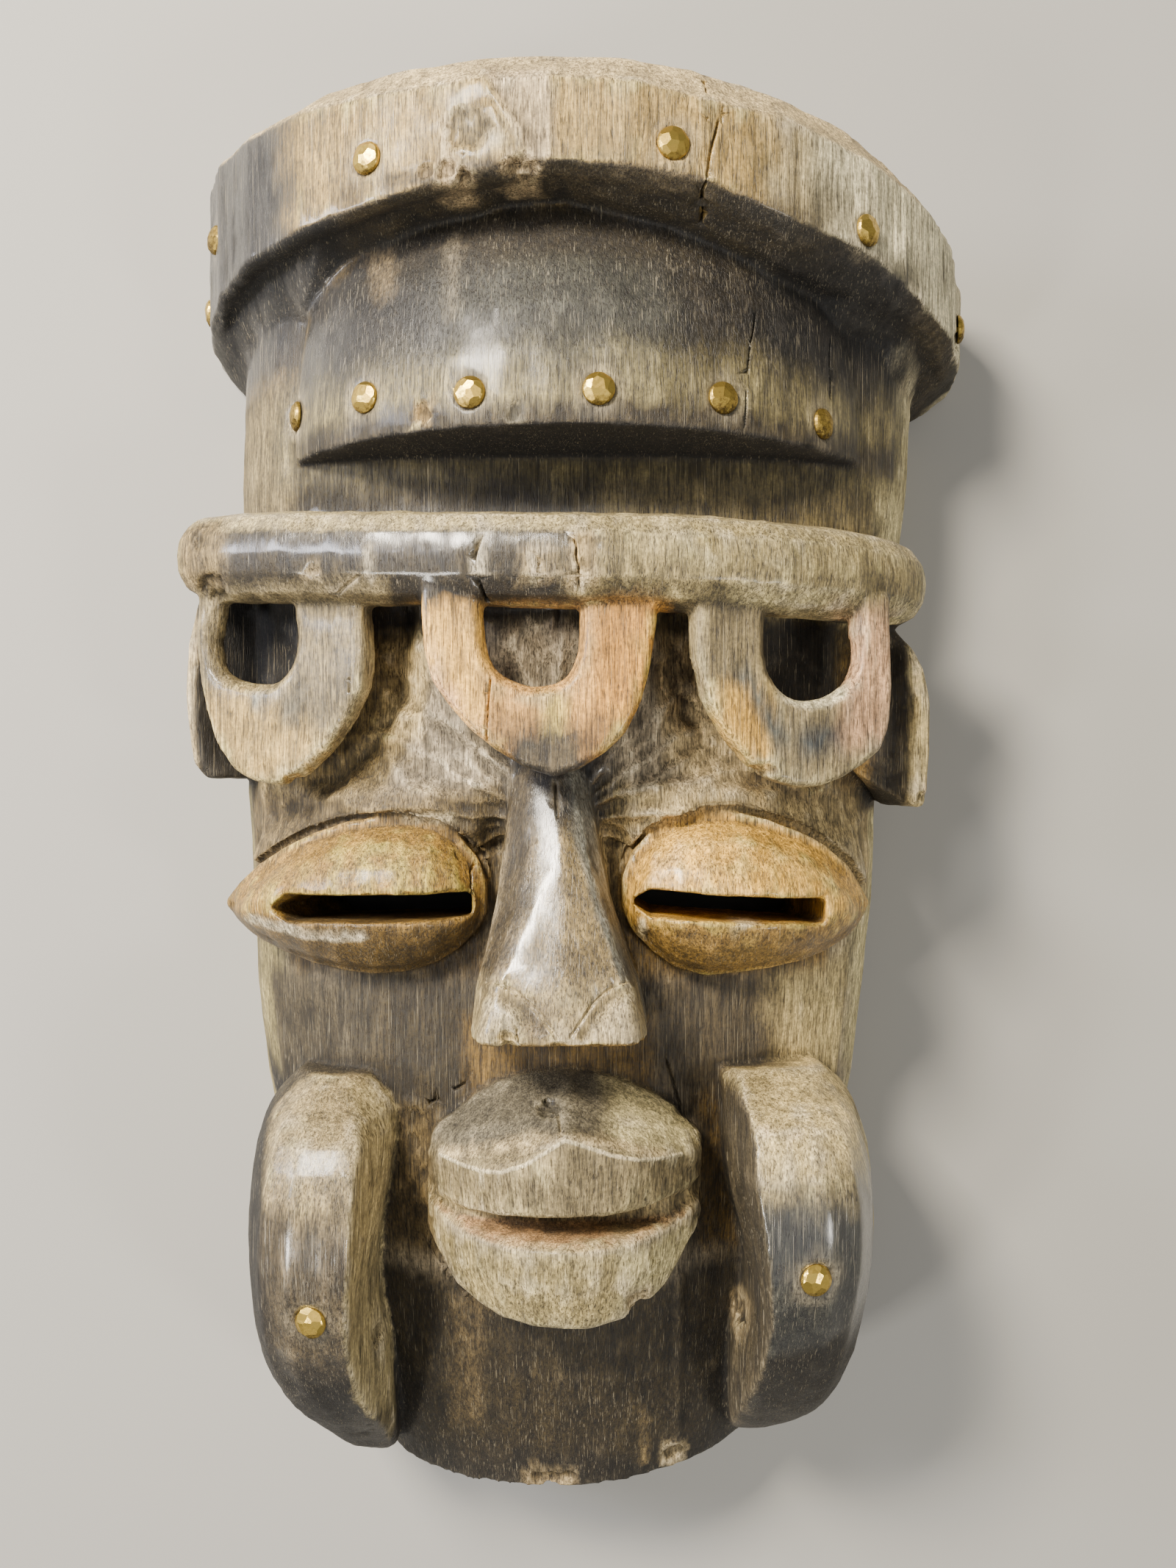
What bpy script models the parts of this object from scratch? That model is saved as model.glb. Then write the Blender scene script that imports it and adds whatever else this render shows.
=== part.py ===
"""A carved wooden mask lying on its back, face up, with fourteen brass upholstery tacks.

X is to the right in the front view, Y to the mask's top, Z out of the face.
Every table below is in millimetres.
"""
import math

import bpy
import bmesh
from mathutils import Matrix, Vector
from mathutils.bvhtree import BVHTree

MM = 0.001

# The wooden shell: rows of height along the mask, left side, right side, front and roundness.
BOARD_ROWS = (
    (214.4, -112.0, 110.0, 84.0, 2.6),
    (190.0, -118.0, 114.0, 77.0, 2.9),
    (150.0, -120.0, 116.0, 80.0, 3.0),
    (110.0, -120.5, 113.5, 80.5, 3.1),
    (60.0, -119.5, 108.0, 80.0, 3.0),
    (8.0, -119.0, 103.5, 79.0, 2.9),
    (-30.0, -117.6, 102.2, 81.0, 2.7),
    (-58.0, -116.9, 99.4, 82.0, 2.6),
    (-90.0, -113.2, 96.2, 82.0, 2.5),
    (-120.0, -107.0, 90.0, 80.0, 2.45),
    (-150.0, -100.0, 85.0, 76.0, 2.4),
    (-180.0, -91.0, 77.0, 70.0, 2.3),
    (-204.0, -80.5, 68.5, 62.5, 2.2),
    (-221.4, -72.0, 62.0, 57.0, 2.2),
)
ARCH_STEPS = 22
FORM_BASE = -5.0
# The right side of the top end falls away, and the right side of the chin is a little shorter.
TOP_FALL = 0.3
TOP_FALL_FROM_X = 10.0
CHIN_RISE = 0.13

# The hollow in the back: rows of height along the mask, inset from the sides and from the front.
HOLLOW_ROWS = (
    (186.0, 46.0, 46.0),
    (180.0, 27.0, 31.0),
    (165.0, 19.0, 25.0),
    (110.0, 18.0, 24.0),
    (40.0, 18.0, 23.0),
    (-20.0, 18.0, 23.0),
    (-80.0, 18.0, 23.0),
    (-130.0, 18.0, 23.0),
    (-170.0, 19.0, 23.0),
    (-190.0, 26.0, 28.0),
    (-197.0, 42.0, 38.0),
)
HOLLOW_STEPS = 16
HOLLOW_BASE = -12.0

# The brim: stations from left to right. Outer envelope, then the heights and the soffit points.
BRIM_HALF_WIDTH = 134.5
BRIM_DEPTH = 123.0
BRIM_BEVEL = 11.0
BRIM_LOW_CHAMFER = 2.0
BRIM_TOP_ROUND = 2.0
# Each station: angle round the log, lower edge, upper edge, bevel top, soffit edge, soffit root.
# A soffit point's x is a share of the half width and its z a share of the depth.
BRIM_STATIONS = (
    (-92.0, 160.0, 205.0, 211.0, (-0.885, 143.5, -0.041), (-0.714, 140.0, -0.041)),
    (-82.0, 162.0, 211.0, 215.0, (-0.885, 144.5, 0.163), (-0.760, 140.0, 0.146)),
    (-74.0, 164.5, 214.5, 217.0, (-0.888, 155.0, 0.268), (-0.835, 145.0, 0.270)),
    (-64.0, 166.5, 214.5, 218.0, (-0.877, 168.0, 0.366), (-0.775, 146.5, 0.390)),
    (-52.0, 170.0, 212.5, 219.0, (-0.766, 173.5, 0.537), (-0.690, 153.0, 0.495)),
    (-39.0, 172.4, 211.0, 219.4, (-0.602, 174.6, 0.707), (-0.480, 168.0, 0.620)),
    (-27.0, 174.0, 209.0, 218.9, (-0.405, 178.3, 0.813), (-0.297, 175.5, 0.667)),
    (-14.0, 178.8, 208.2, 218.1, (-0.192, 181.0, 0.870), (-0.149, 183.0, 0.683)),
    (-4.0, 180.3, 208.0, 217.6, (-0.046, 181.6, 0.878), (-0.045, 184.0, 0.683)),
    (6.0, 178.8, 206.5, 217.0, (0.099, 176.5, 0.878), (0.089, 179.0, 0.683)),
    (15.0, 176.5, 203.0, 214.8, (0.242, 172.3, 0.862), (0.223, 172.5, 0.667)),
    (26.0, 169.8, 201.2, 212.2, (0.428, 163.5, 0.797), (0.372, 162.5, 0.634)),
    (39.0, 166.0, 197.0, 208.8, (0.625, 158.8, 0.659), (0.560, 149.5, 0.560)),
    (52.0, 158.0, 192.6, 204.4, (0.796, 154.0, 0.480), (0.700, 135.5, 0.450)),
    (64.0, 153.8, 188.5, 198.5, (0.845, 151.3, 0.366), (0.775, 132.5, 0.360)),
    (77.0, 152.0, 182.0, 190.5, (0.848, 141.0, 0.244), (0.730, 131.5, 0.240)),
    (92.0, 150.0, 176.0, 184.0, (0.836, 137.0, -0.041), (0.684, 131.5, -0.041)),
)

# The forehead above the ledge: height, left side, depth of the envelope.
FOREHEAD_ROWS = (
    (111.0, -92.0, 115.5),
    (119.0, -92.0, 116.0),
    (132.0, -91.5, 115.0),
    (146.0, -90.0, 112.0),
    (160.0, -87.5, 107.5),
    (174.0, -84.0, 101.0),
    (190.0, -78.0, 92.0),
)
FOREHEAD_MID_X = -4.0
FOREHEAD_HALF_WIDTH = 112.0
FOREHEAD_RIGHT_ANGLE = 62.0
FOREHEAD_STEPS = 16
FOREHEAD_BASE = 40.0
FOREHEAD_EDGE = 2.0

# The rough wood left behind the middle loop, sloping down to the brow: rows as for the shell.
BROW_ROWS = (
    (73.0, -61.0, 33.0, 96.0, 4.0),
    (52.0, -62.0, 34.0, 96.0, 4.0),
    (36.0, -66.0, 38.0, 94.0, 3.6),
    (20.0, -80.0, 54.0, 90.5, 3.2),
    (6.0, -103.0, 82.0, 90.0, 3.0),
    (-4.0, -106.0, 86.0, 86.0, 2.9),
    (-12.0, -98.0, 78.0, 76.0, 2.8),
)
BROW_STEPS = 14
BROW_BASE = 30.0

# The bar across the brow: centre x and z, centre height, radius.
BAR_STATIONS = (
    (-122.3, 63.5, 80.5, 8.5),
    (-121.0, 65.0, 80.5, 11.8),
    (-117.0, 68.0, 80.3, 13.4),
    (-106.0, 75.0, 79.5, 13.9),
    (-86.0, 85.5, 78.0, 14.0),
    (-60.0, 95.5, 76.0, 13.9),
    (-31.0, 103.5, 74.6, 13.8),
    (-2.0, 106.5, 73.8, 13.8),
    (27.0, 104.0, 73.2, 13.9),
    (54.0, 96.5, 72.8, 14.0),
    (75.0, 85.5, 72.9, 14.1),
    (90.0, 74.0, 72.5, 13.8),
    (95.5, 68.5, 72.0, 13.4),
    (98.6, 64.5, 71.8, 12.0),
    (99.6, 63.5, 71.8, 9.0),
)
BAR_SQUARENESS = 2.5
BAR_SIDES = 14

# The three pierced loops: plan points of the front face, thickness, outer and hole outlines.
LOOP_THICK = 7.5
LOOP_BEVEL = 2.6
LOOP_BEVEL_DEPTH = 3.2
LOOP_ROUND = 1.4
LOOPS = {
    "loop_middle": ((-47.0, 112.0), (21.0, 112.0), (
        ((0.0, 68.0), (17.8, 68.0)),
        ((0.0, 58.2), (17.8, 57.6)),
        ((0.8, 48.2), (18.4, 50.3)),
        ((3.5, 38.7), (19.4, 45.4)),
        ((8.1, 31.4), (21.5, 41.9)),
        ((14.4, 24.6), (24.9, 39.3)),
        ((21.1, 19.2), (28.3, 37.9)),
        ((29.1, 14.1), (31.6, 37.2)),
        ((37.9, 11.0), (35.0, 37.2)),
        ((45.9, 13.5), (38.6, 37.9)),
        ((53.2, 18.3), (41.7, 39.8)),
        ((58.9, 24.0), (43.8, 42.9)),
        ((63.1, 32.4), (45.1, 47.1)),
        ((65.9, 42.9), (45.5, 51.3)),
        ((67.7, 55.5), (45.5, 56.6)),
        ((67.7, 68.0), (45.5, 68.0)),
    )),
    "loop_left": ((-122.0, 74.0), (-62.0, 99.0), (
        ((-0.3, 73.0), (8.6, 73.0)),
        ((-0.3, 62.5), (6.8, 60.9)),
        ((-0.6, 52.1), (5.2, 54.1)),
        ((0.2, 42.8), (6.0, 48.3)),
        ((3.2, 30.8), (7.9, 44.3)),
        ((7.0, 21.0), (11.6, 42.2)),
        ((13.4, 13.4), (16.7, 40.9)),
        ((21.0, 9.8), (21.3, 40.1)),
        ((28.8, 8.7), (25.2, 40.0)),
        ((37.7, 11.8), (28.5, 40.3)),
        ((47.5, 19.7), (31.6, 42.7)),
        ((54.3, 28.1), (33.8, 45.5)),
        ((59.4, 37.6), (35.1, 48.8)),
        ((61.1, 47.8), (35.9, 53.9)),
        ((59.9, 60.0), (35.0, 59.5)),
        ((59.9, 72.0), (34.0, 72.0)),
    )),
    "loop_right": ((31.0, 112.0), (91.4, 92.0), (
        ((1.6, 66.0), (24.2, 66.0)),
        ((1.6, 54.5), (24.2, 54.2)),
        ((1.8, 45.0), (24.2, 46.7)),
        ((5.0, 33.7), (25.2, 42.1)),
        ((12.0, 22.2), (27.9, 37.8)),
        ((19.4, 14.0), (31.0, 35.3)),
        ((26.0, 10.0), (34.6, 34.1)),
        ((35.0, 7.6), (39.1, 34.0)),
        ((42.0, 8.5), (43.8, 34.7)),
        ((48.6, 10.6), (47.8, 36.5)),
        ((55.8, 14.8), (50.8, 38.8)),
        ((61.6, 19.5), (52.8, 41.9)),
        ((64.6, 25.9), (54.0, 45.4)),
        ((65.9, 37.4), (54.2, 49.8)),
        ((65.4, 54.2), (53.5, 54.6)),
        ((65.4, 66.0), (53.5, 66.0)),
    )),
}

# The ears under the ends of the bar: height, rim x and z, root x and z of the front side.
EAR_THICK = 6.0
EAR_RIM = 3.5
EAR_FLANK = 24.0
EAR_ROOT_DEPTH = 26.0
EARS = {
    "ear_left": (
        (76.0, -122.0, 60.0, -108.0, 50.0),
        (67.0, -126.0, 61.0, -108.0, 50.0),
        (54.0, -129.0, 61.0, -108.0, 50.0),
        (40.0, -129.6, 61.0, -108.0, 50.0),
        (28.0, -129.0, 61.0, -108.0, 50.0),
        (16.0, -127.6, 60.0, -108.0, 50.0),
        (11.0, -123.5, 58.0, -108.0, 50.0),
    ),
    "ear_right": (
        (66.0, 94.0, 68.0, 84.0, 58.0),
        (58.4, 98.0, 70.0, 85.0, 60.0),
        (52.0, 104.1, 70.5, 86.0, 61.0),
        (45.0, 107.6, 71.0, 86.0, 61.0),
        (35.0, 109.6, 71.0, 86.0, 61.0),
        (24.0, 109.6, 71.0, 86.0, 61.0),
        (13.5, 109.0, 71.0, 86.5, 61.0),
        (8.0, 108.6, 71.0, 95.0, 65.0),
        (2.0, 108.2, 71.0, 104.0, 69.0),
    ),
}

# The nose: height, left and right side, side-edge depth, flat from and to, front depth, ridge depth.
NOSE_ROWS = (
    (24.0, -19.0, -2.0, 84.0, -12.5, -8.5, 88.0, 88.5),
    (11.3, -21.6, 0.4, 90.0, -13.0, -7.5, 97.0, 97.5),
    (-8.0, -23.6, 4.0, 95.0, -9.5, -3.5, 105.5, 106.5),
    (-25.0, -25.6, 7.2, 99.0, -13.5, 2.5, 111.0, 112.5),
    (-40.0, -29.0, 12.0, 102.0, -20.0, 8.0, 115.5, 117.5),
    (-50.0, -31.6, 15.6, 104.0, -25.0, 12.5, 118.5, 121.0),
    (-60.0, -32.6, 17.8, 106.0, -27.5, 14.0, 121.0, 124.0),
    (-64.3, -33.2, 18.4, 107.0, -28.5, 14.8, 121.5, 124.5),
)
NOSE_FOOT = 70.0
NOSE_SPREAD = 1.0

# The eyes: x, upper outline, slit, lower outline, depth at the outline, depth at the slit.
EYES = {
    "eye_left": (
        (-116.5, -28.0, -29.3, -31.0, 58.0, 62.0),
        (-111.0, -22.5, -28.8, -35.5, 64.0, 73.0),
        (-104.0, -17.0, -28.2, -39.4, 69.5, 82.0),
        (-95.0, -11.5, -27.8, -43.2, 74.5, 89.0),
        (-85.0, -6.6, -27.4, -46.4, 79.0, 95.0),
        (-75.0, -3.2, -27.1, -48.4, 82.0, 99.0),
        (-65.0, -1.4, -26.8, -49.2, 84.0, 101.5),
        (-55.0, -1.2, -26.6, -48.4, 85.0, 102.0),
        (-46.0, -2.8, -26.5, -45.6, 86.0, 100.5),
        (-38.5, -6.6, -26.5, -41.2, 86.0, 96.5),
        (-33.0, -13.5, -26.5, -35.5, 86.0, 91.0),
        (-30.2, -21.0, -26.5, -30.5, 86.0, 87.0),
    ),
    "eye_right": (
        (11.6, -19.5, -25.5, -29.5, 86.0, 87.0),
        (14.5, -11.5, -25.6, -35.5, 86.0, 92.0),
        (20.1, -5.0, -25.8, -41.8, 86.0, 97.5),
        (28.0, -1.2, -26.2, -47.2, 86.0, 101.5),
        (37.0, 0.6, -26.6, -49.6, 85.5, 102.5),
        (47.0, 0.4, -27.0, -49.0, 84.0, 101.5),
        (57.0, -2.0, -27.4, -47.8, 82.5, 98.5),
        (67.0, -5.6, -27.9, -45.8, 79.5, 94.0),
        (76.0, -10.6, -28.4, -43.0, 75.0, 87.5),
        (83.5, -17.0, -28.8, -39.4, 70.0, 80.0),
        (89.0, -24.0, -29.2, -34.8, 64.0, 71.0),
        (92.5, -28.4, -29.4, -30.6, 58.0, 61.0),
    ),
}
EYE_BASE = 38.0
SLIT_HEIGHT = 8.0
SLIT_TIP = 6.0
SLITS = {
    "slit_left": ((-109.0, -28.2), (-33.5, -27.0), (-80.0, -29.0), (-34.5, -27.0)),
    "slit_right": ((12.6, -26.4), (79.3, -29.8), (15.0, -26.4), (66.0, -29.6)),
}
SLIT_FRONT = 130.0
SLIT_BACK = 34.0

# The upper lip: x, upper outline, crest, lower edge, crest depth.
UPPER_LIP = (
    (-47.5, -98.5, -102.5, -112.5, 87.0),
    (-44.0, -94.5, -102.0, -115.0, 94.0),
    (-33.2, -86.2, -102.4, -116.0, 106.0),
    (-26.0, -82.2, -102.0, -115.4, 112.5),
    (-19.8, -80.3, -100.8, -114.6, 116.0),
    (-12.4, -79.2, -95.8, -114.1, 118.5),
    (-5.0, -79.0, -90.2, -113.8, 120.0),
    (4.1, -80.0, -94.0, -113.7, 118.5),
    (12.0, -82.2, -97.0, -113.5, 116.0),
    (18.5, -84.8, -98.4, -113.2, 111.5),
    (24.5, -88.2, -99.4, -112.8, 105.0),
    (32.5, -95.5, -101.2, -112.0, 94.0),
    (36.0, -98.5, -101.6, -109.5, 88.0),
)
UPPER_LIP_ROOT = 84.0
UPPER_LIP_EDGE = 2.0

# The lower lip: x, rim, lower edge, rim depth, lower depth.
LOWER_LIP = (
    (-48.0, -117.5, -127.0, 87.0, 84.0),
    (-44.5, -118.4, -132.0, 93.0, 90.0),
    (-38.0, -121.3, -139.9, 101.0, 96.0),
    (-30.5, -122.6, -143.8, 108.0, 101.5),
    (-23.6, -123.2, -146.3, 112.5, 105.5),
    (-15.0, -123.5, -147.4, 116.0, 109.0),
    (-5.6, -123.6, -147.6, 117.5, 110.5),
    (3.0, -123.4, -147.3, 116.5, 109.5),
    (11.5, -123.1, -146.2, 113.5, 106.5),
    (18.0, -122.4, -143.2, 109.0, 102.5),
    (24.0, -121.4, -139.6, 103.0, 97.5),
    (31.5, -118.9, -128.5, 95.0, 91.5),
    (35.5, -117.2, -122.5, 88.0, 86.0),
)
LIP_BASE = 60.0
LOWER_LIP_RIM = 3.0
SLOT_DEPTH = 99.0
SLOT_REACH = 11.0

# The cheek horns: height, outer side, front, inner edge and flank foot, each as x and z.
HORNS = {
    "horn_left": (
        (-81.0, (-90.0, 71.0), (-83.0, 80.5), (-73.0, 83.5), (-68.0, 79.0)),
        (-88.0, (-97.5, 66.0), (-87.5, 90.0), (-69.0, 94.5), (-61.0, 80.0)),
        (-97.0, (-103.0, 64.0), (-91.0, 100.5), (-66.0, 105.5), (-59.0, 80.0)),
        (-112.0, (-106.5, 64.0), (-93.5, 105.5), (-66.8, 112.0), (-61.0, 79.0)),
        (-130.0, (-107.5, 64.0), (-95.0, 106.0), (-67.2, 113.5), (-64.5, 77.0)),
        (-148.0, (-107.0, 62.0), (-94.5, 103.0), (-68.5, 109.0), (-65.5, 75.5)),
        (-165.0, (-105.0, 60.0), (-93.0, 96.0), (-68.5, 100.0), (-63.5, 73.0)),
        (-182.0, (-99.5, 57.0), (-88.5, 84.5), (-66.5, 86.0), (-62.0, 69.0)),
        (-196.0, (-91.5, 51.0), (-82.0, 69.5), (-63.5, 69.5), (-61.5, 62.0)),
        (-207.5, (-83.5, 45.0), (-76.5, 56.0), (-64.0, 57.0), (-62.0, 52.0)),
        (-213.0, (-76.0, 40.0), (-72.0, 47.0), (-66.0, 48.0), (-64.0, 45.0)),
    ),
    "horn_right": (
        (-79.0, (74.0, 75.0), (64.0, 82.0), (47.5, 83.5), (42.5, 79.5)),
        (-85.0, (81.0, 70.0), (71.0, 91.0), (46.8, 95.5), (42.5, 80.0)),
        (-92.0, (86.0, 66.0), (76.0, 100.5), (49.0, 106.0), (43.0, 80.0)),
        (-106.0, (90.5, 65.0), (79.0, 105.5), (49.0, 112.0), (43.5, 80.0)),
        (-120.0, (92.0, 64.0), (80.5, 106.5), (51.5, 113.0), (46.0, 79.0)),
        (-134.0, (92.5, 64.0), (80.5, 105.0), (53.0, 112.5), (50.0, 78.0)),
        (-150.0, (91.0, 62.0), (79.0, 100.5), (53.5, 107.5), (50.5, 76.0)),
        (-166.0, (88.5, 60.0), (77.0, 92.5), (52.0, 97.5), (47.0, 73.0)),
        (-182.0, (84.5, 57.0), (73.0, 81.0), (49.0, 83.0), (46.5, 69.0)),
        (-194.0, (79.0, 51.0), (67.0, 67.5), (47.8, 68.5), (47.0, 63.0)),
        (-203.0, (69.0, 44.0), (60.0, 54.0), (49.0, 54.0), (48.0, 50.0)),
        (-206.5, (62.0, 40.0), (57.0, 46.0), (51.5, 46.5), (50.0, 44.0)),
    ),
}
HORN_BASE = 30.0
HORN_SIDE_DEPTH = 16.0
HORN_SIDE_SLOPE = 1.5
HORN_ROOT_INSET = 8.0

# The tacks: a spot near the surface and the way the head faces, in the order of the photograph.
TACKS = {
    "brim_tack_1": ((-132.0, 174.0, 26.0), (-1.0, 0.0, 0.16)),
    "brim_tack_2": ((-124.0, 191.0, 47.5), (-0.78, 0.0, 0.63)),
    "brim_tack_3": ((-63.0, 189.5, 108.5), (-0.5, 0.0, 0.87)),
    "brim_tack_4": ((25.1, 188.0, 121.7), (0.2, 0.0, 0.98)),
    "brim_tack_5": ((83.8, 174.0, 94.8), (0.63, 0.0, 0.77)),
    "brim_tack_6": ((130.0, 166.0, 33.0), (1.0, 0.0, 0.2)),
    "ledge_tack_1": ((-90.0, 126.0, 68.0), (-0.93, 0.0, 0.37)),
    "ledge_tack_2": ((-66.0, 124.0, 97.0), (-0.53, 0.0, 0.85)),
    "ledge_tack_3": ((-33.0, 121.0, 112.0), (-0.26, 0.0, 0.97)),
    "ledge_tack_4": ((4.1, 121.0, 116.0), (0.05, 0.0, 1.0)),
    "ledge_tack_5": ((40.4, 121.0, 106.5), (0.38, 0.0, 0.92)),
    "ledge_tack_6": ((73.7, 119.5, 84.0), (0.72, 0.0, 0.69)),
    "left_cheek_tack": ((-78.5, -146.0, 107.0), (-0.25, -0.1, 0.96)),
    "right_cheek_tack": ((66.0, -133.0, 109.5), (0.25, -0.05, 0.97)),
}
TACK_SIDES = 10
TACK_HEAD_RADIUS = 4.75
TACK_HEAD_HEIGHT = 2.7
TACK_PIN_RADIUS = 0.9
TACK_PIN_LENGTH = 6.5
TACK_SINK = 0.7
TACK_GAP = 0.3
TACK_POINT = 1.2
TACK_REACH = 40.0
RECESS_HEIGHT = 9.0
RECESS_POINT = 1.8
BACK_SLAB = 40.0
BACK_SLAB_REACH = 300.0


def clear_scene():
    """Leave the scene without objects or loose data."""
    for item in list(bpy.data.objects):
        bpy.data.objects.remove(item, do_unlink=True)
    for item in list(bpy.data.meshes):
        bpy.data.meshes.remove(item)


def new_collection(name):
    """Add a named collection to the scene."""
    group = bpy.data.collections.new(name)
    bpy.context.scene.collection.children.link(group)
    return group


def new_material(name, colour, metallic, roughness):
    """Make one plain material."""
    material = bpy.data.materials.new(name)
    material.use_nodes = True
    surface = material.node_tree.nodes["Principled BSDF"]
    surface.inputs["Base Color"].default_value = (*colour, 1.0)
    surface.inputs["Metallic"].default_value = metallic
    surface.inputs["Roughness"].default_value = roughness
    return material


def new_object(name, bm, group, material=None):
    """Turn a finished bmesh into a named object."""
    mesh = bpy.data.meshes.new(name)
    bm.to_mesh(mesh)
    bm.free()
    if material is not None:
        mesh.materials.append(material)
    item = bpy.data.objects.new(name, mesh)
    group.objects.link(item)
    return item


def loft(name, rings, group, material=None):
    """Close a row of like-counted rings, in millimetres, into one solid."""
    bm = bmesh.new()
    rows = [[bm.verts.new((x * MM, y * MM, z * MM)) for x, y, z in ring] for ring in rings]
    count = len(rows[0])
    for lower, upper in zip(rows, rows[1:]):
        for at in range(count):
            after = (at + 1) % count
            bm.faces.new((lower[at], lower[after], upper[after], upper[at]))
    bm.faces.new(list(reversed(rows[0])))
    bm.faces.new(rows[-1])
    bmesh.ops.triangulate(bm, faces=bm.faces)
    bmesh.ops.recalc_face_normals(bm, faces=bm.faces)
    return new_object(name, bm, group, material)


def between(low, high, share):
    """Blend two numbers or two points."""
    if isinstance(low, tuple):
        return tuple(between(a, b, share) for a, b in zip(low, high))
    return low + (high - low) * share


def row_at(rows, height):
    """Read a table between its rows; the first column falls from row to row."""
    for upper, lower in zip(rows, rows[1:]):
        if lower[0] <= height <= upper[0]:
            share = (height - upper[0]) / (lower[0] - upper[0])
            return between(upper, lower, share)
    return rows[0] if height > rows[0][0] else rows[-1]


def spline(points, steps):
    """Draw a smooth curve through a few points, with a number of steps to each span."""
    drawn = []
    last = len(points) - 1
    for at in range(last):
        before = points[max(at - 1, 0)]
        start = points[at]
        end = points[at + 1]
        beyond = points[min(at + 2, last)]
        for step in range(steps):
            t = step / steps
            drawn.append(tuple(
                0.5 * (2.0 * b + (c - a) * t + (2.0 * a - 5.0 * b + 4.0 * c - d) * t * t
                       + (3.0 * b - a - 3.0 * c + d) * t * t * t)
                for a, b, c, d in zip(before, start, end, beyond)))
    drawn.append(tuple(points[last]))
    return drawn


def arch(height, left, right, front, power, base, steps):
    """One section across the mask: a flat base and a rounded front."""
    middle = (left + right) / 2.0
    half = (right - left) / 2.0
    ring = [(right, height, base)]
    for step in range(steps + 1):
        turn = math.pi * step / steps
        across = math.cos(turn)
        reach = abs(across) ** (2.0 / power) if abs(across) > 1e-9 else 0.0
        rise = abs(math.sin(turn)) ** (2.0 / power) if math.sin(turn) > 1e-9 else 0.0
        ring.append((middle + half * math.copysign(reach, across), height, front * rise))
    ring.append((left, height, base))
    return ring


def board_rings():
    """The shell, from the top end down to the chin."""
    rings = [arch(*row, FORM_BASE, ARCH_STEPS) for row in BOARD_ROWS]
    rings[0] = [(x, y - TOP_FALL * max(0.0, x - TOP_FALL_FROM_X), z) for x, y, z in rings[0]]
    rings[-1] = [(x, y + CHIN_RISE * max(0.0, x), z) for x, y, z in rings[-1]]
    return rings


def hollow_rings():
    """The hollow, kept inside the shell by the insets."""
    rings = []
    for height, side, front in HOLLOW_ROWS:
        _, left, right, depth, power = row_at(BOARD_ROWS, height)
        rings.append(arch(height, left + side, right - side, depth - front, power,
                          HOLLOW_BASE, HOLLOW_STEPS))
    return rings


def brim_rings():
    """The visor round the top, with a bevel above, a chamfer below and a sloping soffit."""
    rings = []
    for turn, low, high, top, edge, root in BRIM_STATIONS:
        angle = math.radians(turn)
        edge = (edge[0] * BRIM_HALF_WIDTH, edge[1], edge[2] * BRIM_DEPTH)
        root = (root[0] * BRIM_HALF_WIDTH, root[1], root[2] * BRIM_DEPTH)
        outer_x = BRIM_HALF_WIDTH * math.sin(angle)
        outer_z = BRIM_DEPTH * math.cos(angle)
        inner_x = (BRIM_HALF_WIDTH - BRIM_BEVEL) * math.sin(angle)
        inner_z = (BRIM_DEPTH - BRIM_BEVEL) * math.cos(angle)
        rings.append([
            (outer_x, low + BRIM_LOW_CHAMFER, outer_z),
            (outer_x, (low + high) / 2.0, outer_z),
            (outer_x, high - BRIM_TOP_ROUND, outer_z),
            (between(outer_x, inner_x, 0.2), high + BRIM_TOP_ROUND * 0.25,
             between(outer_z, inner_z, 0.2)),
            (inner_x, top, inner_z),
            (inner_x * 0.55, top - BRIM_TOP_ROUND * 0.75, inner_z * 0.55),
            (root[0] * 0.8, root[1] + BRIM_TOP_ROUND, root[2] * 0.8),
            root,
            edge,
            (between(outer_x, edge[0], 0.35), between(low, edge[1], 0.3),
             between(outer_z, edge[2], 0.35)),
        ])
    return rings


def forehead_rings():
    """The rounded forehead whose lower end is the ledge."""
    rings = []
    for height, left, depth in FOREHEAD_ROWS:
        start = math.asin((left - FOREHEAD_MID_X) / FOREHEAD_HALF_WIDTH)
        finish = math.radians(FOREHEAD_RIGHT_ANGLE)
        ring = [(left, height, FOREHEAD_BASE)]
        for step in range(FOREHEAD_STEPS + 1):
            angle = start + (finish - start) * step / FOREHEAD_STEPS
            ring.append((FOREHEAD_MID_X + FOREHEAD_HALF_WIDTH * math.sin(angle), height,
                         depth * math.cos(angle)))
        ring[1] = (ring[1][0], height, ring[1][2] - FOREHEAD_EDGE)
        ring.append((ring[-1][0], height, FOREHEAD_BASE))
        rings.append(ring)
    return rings


def brow_rings():
    """The rough wood behind the middle loop and over the eyes."""
    return [arch(*row, BROW_BASE, BROW_STEPS) for row in BROW_ROWS]


def bar_rings():
    """The bent bar with rounded ends."""
    rings = []
    last = len(BAR_STATIONS) - 1
    for at, (x, z, height, radius) in enumerate(BAR_STATIONS):
        before = BAR_STATIONS[max(at - 1, 0)]
        beyond = BAR_STATIONS[min(at + 1, last)]
        run = Vector((beyond[0] - before[0], beyond[1] - before[1])).normalized()
        ring = []
        for side in range(BAR_SIDES):
            turn = 2.0 * math.pi * (side + 0.5) / BAR_SIDES
            full = (abs(math.sin(turn)) ** BAR_SQUARENESS
                    + abs(math.cos(turn)) ** BAR_SQUARENESS) ** (-1.0 / BAR_SQUARENESS)
            out = radius * full * math.sin(turn)
            up = radius * full * math.cos(turn)
            ring.append((x - run[1] * out, height + up, z + run[0] * out))
        rings.append(ring)
    return rings


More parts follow.
